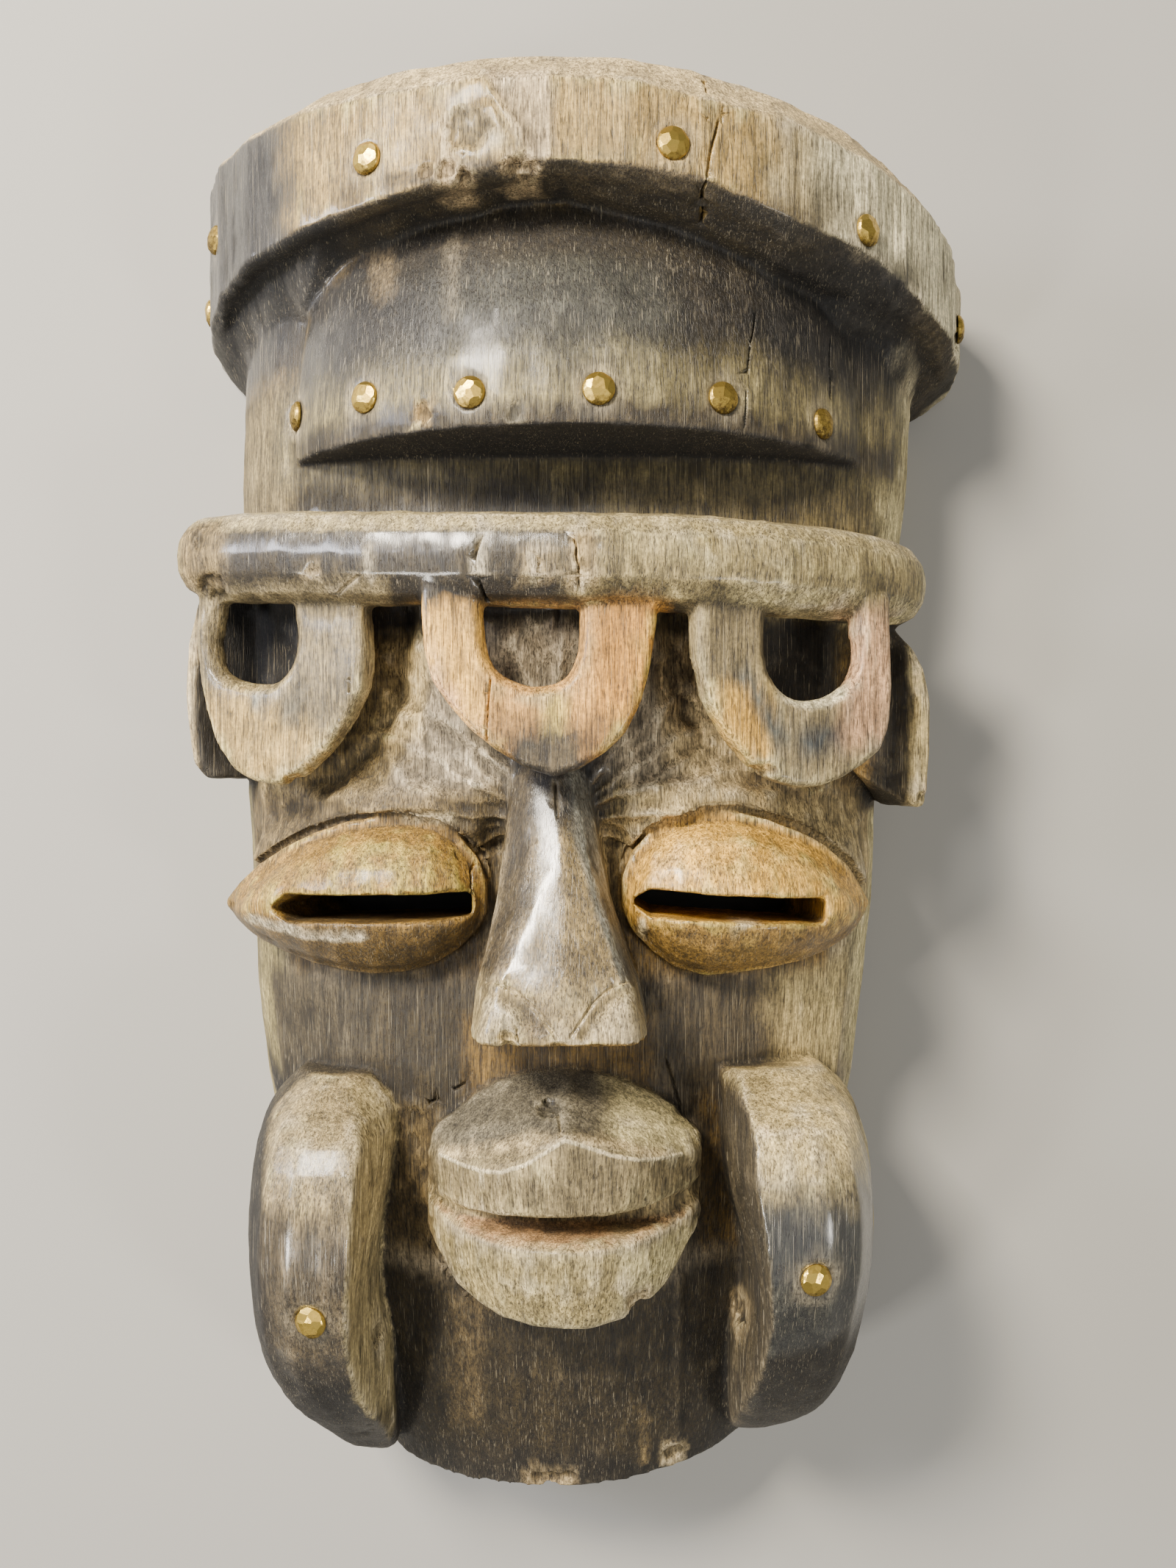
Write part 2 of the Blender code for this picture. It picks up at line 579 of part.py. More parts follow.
def loop_rings(start, end, outline):
    """A flat U-shaped plate, its hole bevelled towards the front."""
    across = Vector((end[0] - start[0], end[1] - start[1])).normalized()
    out = Vector((-across[1], across[0]))

    def place(point, depth):
        flat = Vector(start) + across * point[0] + out * depth
        return (flat[0], point[1], flat[1])

    rings = []
    for outer, inner in outline:
        reach = Vector((outer[0] - inner[0], outer[1] - inner[1])).normalized()
        lip = (inner[0] + reach[0] * LOOP_BEVEL, inner[1] + reach[1] * LOOP_BEVEL)
        rim = (outer[0] - reach[0] * LOOP_ROUND * 0.85, outer[1] - reach[1] * LOOP_ROUND * 0.85)
        rings.append([
            place(outer, -LOOP_ROUND),
            place(rim, 0.0),
            place(lip, 0.0),
            place(inner, -LOOP_BEVEL_DEPTH),
            place(inner, -LOOP_THICK),
            place(outer, -LOOP_THICK),
        ])
    return rings


def ear_rings(rows):
    """A flange standing out of the side, its rim forward."""
    rings = []
    for height, rim_x, rim_z, root_x, root_z in rows:
        side = math.copysign(1.0, rim_x)
        rings.append([
            (root_x, height, root_z),
            (rim_x - side * EAR_RIM, height, rim_z + EAR_THICK / 6.0),
            (rim_x, height, rim_z - EAR_THICK / 10.0),
            (rim_x + side * EAR_THICK / 15.0, height, rim_z - EAR_THICK),
            (between(rim_x, root_x, 0.55), height, rim_z - EAR_FLANK),
            (root_x - side * EAR_THICK / 1.5, height, root_z - EAR_ROOT_DEPTH),
        ])
    return rings


def nose_rings():
    """The nose, from the bridge to the flat cut at its base."""
    rings = []
    for height, left, right, side, flat_from, flat_to, front, ridge in NOSE_ROWS:
        rings.append([
            (left - NOSE_SPREAD, height, NOSE_FOOT),
            (left, height, side),
            (between(left, flat_from, 0.55), height, between(side, front, 0.78)),
            (flat_from, height, front),
            ((flat_from + flat_to) / 2.0, height, ridge),
            (flat_to, height, front),
            (between(right, flat_to, 0.55), height, between(side, front, 0.78)),
            (right, height, side),
            (right + NOSE_SPREAD, height, NOSE_FOOT),
        ])
    return rings


def eye_rings(rows):
    """A bulging eye, deepest along its slit."""
    rings = []
    for x, upper, slit, lower, edge, middle in rows:
        ring = [(x, upper, EYE_BASE), (x, upper, edge)]
        for share in (0.1, 0.3, 0.6, 0.9, 1.0):
            rise = math.sin(share * math.pi / 2.0) ** 0.75
            ring.append((x, between(upper, slit, share), between(edge, middle, rise)))
        for share in (0.8, 0.45, 0.12):
            rise = math.sin(share * math.pi / 2.0) ** 0.75
            ring.append((x, between(lower, slit, share), between(edge, middle, rise)))
        ring.append((x, lower, edge))
        ring.append((x, lower, EYE_BASE))
        rings.append(ring)
    return rings


def slit_rings(front_left, front_right, back_left, back_right):
    """A slot right through, wider at the front."""
    half = SLIT_HEIGHT / 2.0
    rings = []
    for depth, left, right in ((SLIT_BACK, back_left, back_right),
                               (SLIT_FRONT, front_left, front_right)):
        rings.append([
            (left[0], left[1], depth),
            (left[0] + SLIT_TIP, left[1] - half, depth),
            (right[0], right[1] - half, depth),
            (right[0], right[1] + half, depth),
            (left[0] + SLIT_TIP, left[1] + half, depth),
        ])
    return rings


def upper_lip_rings():
    """The upper lip, sloping back above its crest and upright below it."""
    rings = []
    for x, upper, crest, lower, depth in UPPER_LIP:
        rings.append([
            (x, upper, LIP_BASE),
            (x, upper, min(UPPER_LIP_ROOT, depth - UPPER_LIP_EDGE)),
            (x, between(upper, crest, 0.45), between(UPPER_LIP_ROOT, depth, 0.62)),
            (x, between(upper, crest, 0.9), between(UPPER_LIP_ROOT, depth, 0.97)),
            (x, crest, depth),
            (x, lower + UPPER_LIP_EDGE * 0.5, depth - UPPER_LIP_EDGE),
            (x, lower, depth - UPPER_LIP_EDGE * 1.6),
            (x, lower + UPPER_LIP_EDGE * 0.5, LIP_BASE),
        ])
    return rings


def lower_lip_rings():
    """The lower lip, with a sloping rim above, an upright front and the slot's bottom behind."""
    rings = []
    for x, rim, lower, depth, foot in LOWER_LIP:
        bottom = min(SLOT_DEPTH, depth - LOWER_LIP_RIM * 1.6)
        rings.append([
            (x, rim + SLOT_REACH, LIP_BASE),
            (x, rim + SLOT_REACH, bottom),
            (x, rim + LOWER_LIP_RIM, bottom + LOWER_LIP_RIM * 0.3),
            (x, rim + LOWER_LIP_RIM * 0.72, depth - LOWER_LIP_RIM),
            (x, rim, depth),
            (x, between(rim, lower, 0.5), between(depth, foot, 0.35)),
            (x, lower + LOWER_LIP_RIM * 0.2, foot + LOWER_LIP_RIM * 0.1),
            (x, lower - LOWER_LIP_RIM * 0.12, foot - LOWER_LIP_RIM * 0.5),
            (x, lower - LOWER_LIP_RIM * 0.2, LIP_BASE),
        ])
    return rings


def horn_rings(rows):
    """A crescent standing on the cheek; the rows are read smoothly."""
    plain = []
    for height, outer, front, inner, foot in rows:
        plain.append((height, *outer, *front, *inner, *foot))
    rings = []
    for height, ox, oz, fx, fz, ix, iz, bx, bz in spline(plain, 2):
        side = math.copysign(1.0, ox)
        profile = spline([(ox - side * HORN_SIDE_SLOPE, oz - HORN_SIDE_DEPTH), (ox, oz),
                          (fx, fz), (ix, iz)], 3)
        ring = [(x, height, z) for x, z in profile]
        ring.append((between(ix, bx, 0.5), height, between(iz, bz, 0.62)))
        ring.append((bx, height, bz))
        ring.append((bx, height, min(HORN_BASE, bz - HORN_SIDE_DEPTH)))
        ring.append((ox - side * HORN_ROOT_INSET, height,
                     min(HORN_BASE, oz - HORN_SIDE_DEPTH * 1.25)))
        rings.append(ring)
    return rings


def lathe(name, profile, sides, group, material=None):
    """Turn a profile of radius and height, both in millimetres, round the Z axis."""
    bm = bmesh.new()
    rings = []
    for radius, height in profile:
        if radius == 0.0:
            rings.append([bm.verts.new((0.0, 0.0, height * MM))])
            continue
        ring = []
        for side in range(sides):
            turn = 2.0 * math.pi * side / sides
            ring.append(bm.verts.new((radius * math.cos(turn) * MM, radius * math.sin(turn) * MM,
                                      height * MM)))
        rings.append(ring)
    for upper, lower in zip(rings, rings[1:]):
        for side in range(sides):
            after = (side + 1) % sides
            if len(upper) == 1:
                bm.faces.new((upper[0], lower[side], lower[after]))
            elif len(lower) == 1:
                bm.faces.new((upper[side], lower[0], upper[after]))
            else:
                bm.faces.new((upper[side], lower[side], lower[after], upper[after]))
    bmesh.ops.recalc_face_normals(bm, faces=bm.faces)
    return new_object(name, bm, group, material)


def turned(item, spot, way):
    """Stand a lathed object on a spot, facing a way, and settle the turn into its mesh."""
    facing = Vector(way).normalized().to_track_quat("Z", "Y").to_matrix().to_4x4()
    item.data.transform(Matrix.Translation(spot) @ facing)
    item.data.update()


def cut(target, other, operation):
    """Add one exact Boolean to the target."""
    step = target.modifiers.new(other.name, "BOOLEAN")
    step.operation = operation
    step.solver = "EXACT"
    step.object = other


def settle(item):
    """Turn the target's modifiers into its own mesh."""
    graph = bpy.context.evaluated_depsgraph_get()
    mesh = bpy.data.meshes.new_from_object(item.evaluated_get(graph))
    item.modifiers.clear()
    item.data = mesh


def tidy_mesh(item):
    """Drop slivers left by the Booleans."""
    bm = bmesh.new()
    bm.from_mesh(item.data)
    bmesh.ops.remove_doubles(bm, verts=bm.verts, dist=0.00005)
    bmesh.ops.dissolve_degenerate(bm, edges=bm.edges, dist=0.00005)
    bmesh.ops.triangulate(bm, faces=bm.faces)
    bmesh.ops.recalc_face_normals(bm, faces=bm.faces)
    bm.to_mesh(item.data)
    bm.free()


def build():
    """Build the whole mask."""
    clear_scene()
    parts = new_collection("african_mask")
    cutters = new_collection("african_mask_cutters")
    wood = new_material("carved_wood", (0.105, 0.078, 0.052), 0.0, 0.5)
    brass = new_material("brass", (0.62, 0.44, 0.14), 1.0, 0.35)

    body = loft("mask_body", board_rings(), parts, wood)
    forms = [
        loft("brim", brim_rings(), cutters),
        loft("forehead", forehead_rings(), cutters),
        loft("brow", brow_rings(), cutters),
        loft("bar", bar_rings(), cutters),
        loft("nose", nose_rings(), cutters),
        loft("upper_lip", upper_lip_rings(), cutters),
        loft("lower_lip", lower_lip_rings(), cutters),
    ]
    for name, (start, end, outline) in LOOPS.items():
        forms.append(loft(name, loop_rings(start, end, outline), cutters))
    for name, rows in EARS.items():
        forms.append(loft(name, ear_rings(rows), cutters))
    for name, rows in EYES.items():
        forms.append(loft(name, eye_rings(rows), cutters))
    for name, rows in HORNS.items():
        forms.append(loft(name, horn_rings(rows), cutters))
    for form in forms:
        cut(body, form, "UNION")
    settle(body)
    for form in forms:
        bpy.data.objects.remove(form, do_unlink=True)

    tools = [loft("hollow", hollow_rings(), cutters)]
    for name, corners in SLITS.items():
        tools.append(loft(name, slit_rings(*corners), cutters))
    reach = BACK_SLAB_REACH
    tools.append(loft("back_slab", [
        [(-reach, reach, depth), (-reach, -reach, depth), (reach, -reach, depth),
         (reach, reach, depth)] for depth in (-BACK_SLAB, 0.0)], cutters))

    surface = BVHTree.FromPolygons([tuple(v.co) for v in body.data.vertices],
                                   [tuple(p.vertices) for p in body.data.polygons])
    for name, (near, way) in TACKS.items():
        facing = Vector(way).normalized()
        spot = surface.ray_cast((Vector(near) + facing * TACK_REACH) * MM, -facing,
                                2.0 * TACK_REACH * MM)[0]
        seat = spot - facing * TACK_SINK * MM
        tack = lathe(name, (
            (0.0, TACK_GAP + TACK_HEAD_HEIGHT),
            (TACK_HEAD_RADIUS * 0.45, TACK_GAP + TACK_HEAD_HEIGHT * 0.9),
            (TACK_HEAD_RADIUS * 0.82, TACK_GAP + TACK_HEAD_HEIGHT * 0.58),
            (TACK_HEAD_RADIUS, TACK_GAP),
            (TACK_PIN_RADIUS, TACK_GAP),
            (TACK_PIN_RADIUS, -TACK_PIN_LENGTH),
            (0.0, -TACK_PIN_LENGTH - TACK_POINT),
        ), TACK_SIDES, parts, brass)
        turned(tack, seat, way)
        seat_radius = (TACK_HEAD_RADIUS + TACK_GAP) / math.cos(math.pi / TACK_SIDES)
        pilot_radius = (TACK_PIN_RADIUS + TACK_GAP) / math.cos(math.pi / TACK_SIDES)
        recess = lathe(name + "_recess", (
            (0.0, RECESS_HEIGHT),
            (seat_radius, RECESS_HEIGHT),
            (seat_radius, 0.0),
            (pilot_radius, 0.0),
            (pilot_radius, -TACK_PIN_LENGTH - RECESS_POINT),
            (0.0, -TACK_PIN_LENGTH - RECESS_POINT),
        ), TACK_SIDES, cutters)
        turned(recess, seat, way)
        tools.append(recess)
    for tool in tools:
        cut(body, tool, "DIFFERENCE")
    settle(body)
    for tool in tools:
        bpy.data.objects.remove(tool, do_unlink=True)
    bpy.data.collections.remove(cutters)
    tidy_mesh(body)


build()
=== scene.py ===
"""Dresses a carved wooden mask, lying on its back, as old worn wood with brass tacks.

Tables below are in millimetres: X to the viewer's right, Y to the top of the head, Z out of the face.
"""

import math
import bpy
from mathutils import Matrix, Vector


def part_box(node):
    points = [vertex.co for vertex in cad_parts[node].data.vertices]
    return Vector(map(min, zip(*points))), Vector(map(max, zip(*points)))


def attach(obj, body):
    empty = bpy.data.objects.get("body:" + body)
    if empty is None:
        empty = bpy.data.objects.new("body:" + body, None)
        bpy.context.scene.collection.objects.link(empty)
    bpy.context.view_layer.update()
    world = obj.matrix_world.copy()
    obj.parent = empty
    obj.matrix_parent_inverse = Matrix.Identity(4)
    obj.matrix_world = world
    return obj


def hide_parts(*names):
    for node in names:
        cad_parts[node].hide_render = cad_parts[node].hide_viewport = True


bl_info = {
    "name": "Carved mask",
    "version": (1, 0, 0),
    "blender": (4, 5, 0),
    "location": "View3D > Sidebar > Carved mask",
    "description": "Carves the wood of the mask, sets its brass tacks and lights it",
    "category": "Object",
}

import bmesh
import bpy
import numpy as np
from bpy.props import FloatProperty, FloatVectorProperty, PointerProperty
from mathutils import Matrix, Vector
from mathutils.bvhtree import BVHTree

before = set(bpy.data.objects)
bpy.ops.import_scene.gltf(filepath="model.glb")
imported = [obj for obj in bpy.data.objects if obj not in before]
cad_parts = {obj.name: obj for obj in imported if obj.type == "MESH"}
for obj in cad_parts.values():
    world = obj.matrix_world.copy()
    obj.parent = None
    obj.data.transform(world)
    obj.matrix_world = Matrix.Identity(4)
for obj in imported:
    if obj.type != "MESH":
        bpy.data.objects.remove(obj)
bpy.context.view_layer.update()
MM = 0.001

# The sides a zone of paint can be kept to.
UP = (0.0, 1.0, 0.0)
DOWN = (0.0, -1.0, 0.0)
FRONT = (0.0, 0.0, 1.0)
LEFT = (-1.0, 0.0, 0.0)
RIGHT = (1.0, 0.0, 0.0)

# The eyes: x, upper outline, lower outline.
EYES = (
    ((-116.5, -28.0, -31.0), (-111.0, -22.5, -35.5), (-104.0, -17.0, -39.4),
     (-95.0, -11.5, -43.2), (-85.0, -6.6, -46.4), (-75.0, -3.2, -48.4), (-65.0, -1.4, -49.2),
     (-55.0, -1.2, -48.4), (-46.0, -2.8, -45.6), (-38.5, -6.6, -41.2), (-33.0, -13.5, -35.5),
     (-30.2, -21.0, -30.5)),
    ((11.6, -19.5, -29.5), (14.5, -11.5, -35.5), (20.1, -5.0, -41.8), (28.0, -1.2, -47.2),
     (37.0, 0.6, -49.6), (47.0, 0.4, -49.0), (57.0, -2.0, -47.8), (67.0, -5.6, -45.8),
     (76.0, -10.6, -43.0), (83.5, -17.0, -39.4), (89.0, -24.0, -34.8), (92.5, -28.4, -30.6)),
)

# Cracks, cut lines and raised edges: half width, depth (a raised one is negative), colour, and
# the way they run over the surface.
DARK = "#1c150c"
CRACKS = {
    "brim_top": (0.5, 2.0, DARK, ((34.7, 210.2, 111.4), (34.7, 204.6, 115.6))),
    "brim_short": (0.35, 1.2, DARK, ((33.4, 199.1, 119.1), (33.4, 196.2, 119.1), (35.2, 195.6, 118.7))),
    "brim_short_2": (0.35, 1.0, DARK, ((39.1, 199.6, 117.3), (38.7, 195.2, 117.5))),
    "brim_long": (0.5, 2.0, DARK, ((37.8, 195.6, 117.8), (35.2, 184.9, 118.7), (33.2, 176.7, 115.6))),
    "brim_open": (0.75, 3.0, DARK, ((33.2, 176.7, 115.6), (33.7, 171.9, 105.4))),
    "forehead": (0.4, 1.6, DARK, ((50.8, 148.2, 96.9), (48.6, 135.8, 100.7), (47.5, 126.0, 102.5),
                            (46.8, 114.0, 103.1))),
    "forehead_right": (0.5, 1.2, DARK, ((76.4, 147.1, 77.5), (76.1, 128.6, 80.3))),
    "bar_split": (0.7, 2.4, DARK, ((-29.9, 77.9, 117.0), (-31.3, 70.7, 116.8), (-29.5, 65.0, 114.4),
                             (-27.6, 61.3, 108.3))),
    "bar_split_2": (0.5, 1.6, DARK, ((-2.9, 79.7, 119.5), (-1.5, 64.2, 117.1))),
    "bar_knot": (0.45, 1.2, DARK, ((-14.3, 75.3, 118.9), (-12.6, 72.2, 119.0), (-13.5, 66.3, 117.2))),
    "bar_slash": (0.8, 1.0, DARK, ((-74.4, 64.5, 97.5), (-65.9, 69.0, 106.6))),
    "loop_middle": (0.4, 1.6, DARK, ((-26.9, 38.7, 112.0), (-28.5, 16.2, 111.0))),
    "loop_left": (0.4, 1.0, DARK, ((-70.0, 40.4, 95.7), (-70.2, 36.5, 95.6))),
    "nose_top": (0.7, 1.2, DARK, ((-8.6, 9.1, 98.3), (-8.0, -0.4, 102.9))),
    "nose_small": (0.4, 1.0, DARK, ((-18.8, -58.2, 121.7), (-19.0, -63.1, 122.6))),
    "eye_left_inner": (0.6, 1.4, DARK, ((-33.8, -15.2, 88.3), (-33.2, -22.8, 90.7))),
    "lip_corner_left": (0.6, 1.6, DARK, ((-45.9, -112.9, 87.9), (-43.3, -116.7, 91.4))),
    "lip_line_right": (0.4, 1.0, DARK, ((19.7, -124.1, 106.8), (20.1, -135.4, 103.4))),
    "chin_line_left": (0.6, 1.4, DARK, ((-52.0, -132.4, 73.1), (-45.3, -143.5, 73.0),
                                  (-34.9, -154.9, 73.0))),
    "lip_top": (0.5, 1.4, DARK, ((-11.0, -84.2, 98.5), (-7.4, -86.6, 110.4), (-6.9, -89.9, 117.9))),
    "mouth_right": (0.6, 1.6, DARK, ((24.9, -76.1, 79.9), (29.5, -89.9, 79.1), (34.5, -99.0, 87.8))),
    "mouth_left": (0.6, 1.6, DARK, ((-48.1, -90.0, 78.9), (-35.4, -82.7, 80.8))),
    "lid_block": (0.6, 1.6, DARK, ((15.2, -30.5, 91.3), (15.6, -37.6, 90.0))),
    "nostril_left": (0.8, 0.9, "#cdbb92", ((-28.9, -47.3, 110.7), (-26.2, -47.0, 114.0),
                                           (-23.2, -47.4, 117.9), (-19.2, -49.7, 119.3),
                                           (-13.1, -54.8, 121.6), (-7.6, -61.4, 124.2))),
    "nostril_right": (0.75, 0.9, "#cdbb92", ((12.2, -46.6, 115.7), (7.2, -48.4, 118.7),
                                             (2.6, -52.2, 120.5), (-0.8, -57.0, 122.4),
                                             (-3.9, -61.4, 123.6))),
    "lip_crest": (0.8, -0.35, "#d9c9a0", ((-43.5, -101.8, 94.0), (-36.0, -102.3, 103.0),
                                          (-30.0, -102.4, 109.0), (-24.0, -101.6, 113.5),
                                          (-17.0, -98.6, 117.0), (-10.5, -94.0, 119.2),
                                          (-5.5, -90.6, 120.0), (0.0, -92.4, 119.5),
                                          (8.0, -95.6, 117.5), (15.0, -97.8, 114.0),
                                          (21.0, -99.0, 109.0), (29.0, -100.4, 99.0))),
}

# Tool marks: half width, depth (a raised one is negative) and the way they run.
TOOL_MARKS = {
    "wing_left": (3.6, 1.2, ((-27.5, -50.5, 112.7), (-22.2, -50.8, 118.9), (-17.2, -54.0, 120.3),
                             (-12.1, -59.0, 121.6))),
    "wing_right": (3.2, 1.1, ((11.5, -50.0, 116.7), (6.8, -51.9, 118.7), (2.6, -56.0, 120.5),
                              (0.4, -60.3, 122.4))),
    "adze_1": (2.6, 1.0, ((18.0, 43.0, 79.0), (30.7, 35.6, 78.3), (40.0, 28.0, 77.0))),
    "adze_2": (2.2, 0.8, ((25.6, 53.6, 79.2), (36.0, 38.0, 78.0))),
    "adze_3": (2.6, 0.9, ((14.2, 36.0, 79.0), (30.7, 29.9, 78.1), (42.0, 24.0, 77.0))),
    "adze_4": (2.6, 1.0, ((-66.3, 26.4, 74.8), (-48.7, 29.7, 77.7))),
    "adze_5": (2.2, 0.8, ((-62.1, 18.3, 75.5), (-49.6, 24.0, 77.5))),
    "adze_6": (2.4, 1.0, ((-60.5, 10.0, 75.6), (-32.4, 13.2, 78.6))),
    "adze_7": (2.4, 0.8, ((12.4, 21.9, 78.9), (37.7, 15.1, 77.1))),
    "adze_8": (2.4, 0.8, ((14.7, 9.3, 78.6), (44.7, 7.0, 75.6))),
    "adze_9": (2.4, 0.9, ((-88.4, 9.4, 66.3), (-63.5, 12.8, 75.1))),
    "knot_lip": (2.2, -0.8, ((-28.5, 209.9, 116.7), (-26.5, 202.4, 120.2), (-22.2, 196.3, 120.8),
                             (-18.7, 190.4, 121.4), (-17.6, 186.2, 121.5))),
    "chin_arris": (3.0, -1.0, ((29.5, -146.9, 72.6), (29.5, -175.5, 66.2), (29.8, -206.9, 55.0))),
}

# Chips and dents: middle, half sizes across and along, depth.
CHIPS = {
    "brim_a": ((-45.2, 182.9, 115.0), (2.6, 2.4), 1.6),
    "brim_b": ((-39.2, 181.9, 117.1), (3.2, 3.6), 2.4),
    "brim_c": ((-33.9, 180.6, 116.2), (2.6, 2.6), 2.0),
    "brim_d": ((-17.9, 182.1, 119.3), (5.6, 2.6), 2.2),
    "knot_hollow": ((-33.0, 193.0, 119.0), (8.0, 7.0), 0.7),
    "ledge_tan": ((-47.1, 116.6, 106.8), (2.8, 4.0), 1.3),
    "ledge_dark": ((-19.9, 115.1, 114.5), (2.4, 3.2), 1.0),
    "nose_tip": ((-21.5, -62.8, 122.3), (3.4, 3.2), 1.9),
    "lower_lip": ((15.8, -142.7, 104.6), (4.6, 5.2), 2.2),
    "horn_left": ((-64.4, -163.0, 75.7), (2.0, 4.0), 1.4),
    "horn_right": ((48.9, -157.5, 71.2), (3.4, 5.0), 1.6),
    "bottom_a": ((-12.2, -218.1, 57.7), (6.0, 3.2), 2.0),
    "bottom_b": ((-5.5, -216.7, 58.5), (3.0, 2.2), 1.4),
    "bottom_c": ((28.9, -211.7, 53.3), (4.0, 3.6), 2.0),
    "eye_hole": ((-32.1, -12.8, 80.6), (2.4, 2.2), 3.0),
    "eye_left": ((-48.2, -1.7, 79.7), (8.0, 1.6), 1.4),
    "bar_bare": ((-79.8, 71.2, 102.0), (2.6, 1.4), 0.8),
    "bar_end": ((-114.8, 69.5, 81.3), (6.0, 5.0), 1.6),
    "bar_end_upper": ((-117.0, 84.0, 76.0), (6.0, 6.0), 1.2),
    "bar_dent": ((1.0, 74.0, 119.0), (4.0, 7.0), 0.8),
    "ear_tip": ((107.2, 3.5, 70.9), (3.0, 3.5), 1.6),
    "lid_block": ((17.2, -33.9, 91.3), (2.2, 3.4), -0.8),
    "lip_dent": ((-10.6, -85.4, 103.5), (4.4, 2.6), 2.0),
    "brim_right_end": ((128.0, 160.0, 40.0), (6.0, 4.0), 1.6),
    "loop_left_corner": ((-88.0, 10.0, 86.0), (5.0, 2.4), 0.9),
    "loop_right_corner": ((52.0, 13.0, 103.0), (5.0, 2.4), 0.9),
}


def spread(left, right, low, high):
    """A plain four-cornered outline."""
    return ((left, low), (right, low), (right, high), (left, high))


LEFT_LID = tuple((x, up) for x, up, low in EYES[0]) + tuple(
    (x, low) for x, up, low in reversed(EYES[0]))
RIGHT_LID = tuple((x, up) for x, up, low in EYES[1]) + tuple(
    (x, low) for x, up, low in reversed(EYES[1]))
NOSE = ((-19, 24), (-2, 24), (0.4, 11), (4, -8), (7, -25), (12, -40), (16, -50), (18, -60),
        (19, -65), (-34.5, -65), (-33, -60), (-31.6, -50), (-29, -40), (-25.6, -25), (-23.6, -8),
        (-21.6, 11))
FOREHEAD = ((-92, 110), (-90, 150), (-84, 158), (-58, 174), (-38, 178), (-20, 181), (0, 181),
            (12, 176), (32, 172), (54, 163), (78, 158), (99, 150), (104, 134), (104, 110))

# The colours of the wood: the stains that smoke, oil, old paint and wear have left on it, and the
# colours of the painted shade and painted highlights that some zones below take.
STAINS_AND_PAINTED_LIGHT = {
    "soot": "#0f0d0b",
    "smoke": "#16130f",
    "pitch": "#1e190f",
    "char": "#231d11",
    "dark_walnut": "#2c2412",
    "slate": "#2b2a22",
    "walnut": "#3c3423",
    "bark": "#423825",
    "burnt_honey": "#4e3b14",
    "russet": "#614a1c",
    "old_blue": "#3b3f3f",
    "washed_blue": "#595c55",
    "stone_grey": "#6e6e65",
    "cocoa": "#5d4e30",
    "dun": "#5a5341",
    "nut": "#6c5b36",
    "amber": "#7a5e28",
    "fawn": "#786a49",
    "khaki": "#80744b",
    "dry_grass": "#918154",
    "driftwood": "#978459",
    "old_honey": "#93712e",
    "clay": "#97754c",
    "wheat": "#a0854b",
    "ochre": "#c0904a",
    "deep_ochre": "#bf8630",
    "warm_ochre": "#cb9546",
    "gold_ochre": "#e3b052",
    "yellow_ochre": "#e4c662",
    "sand": "#ad9766",
    "pink_clay": "#b58e67",
    "honey": "#d4a340",
    "oat": "#b4a272",
    "dry_tan": "#c0a97a",
    "straw": "#cbb479",
    "pale_straw": "#cdbd87",
    "bone": "#d6cba4",
}
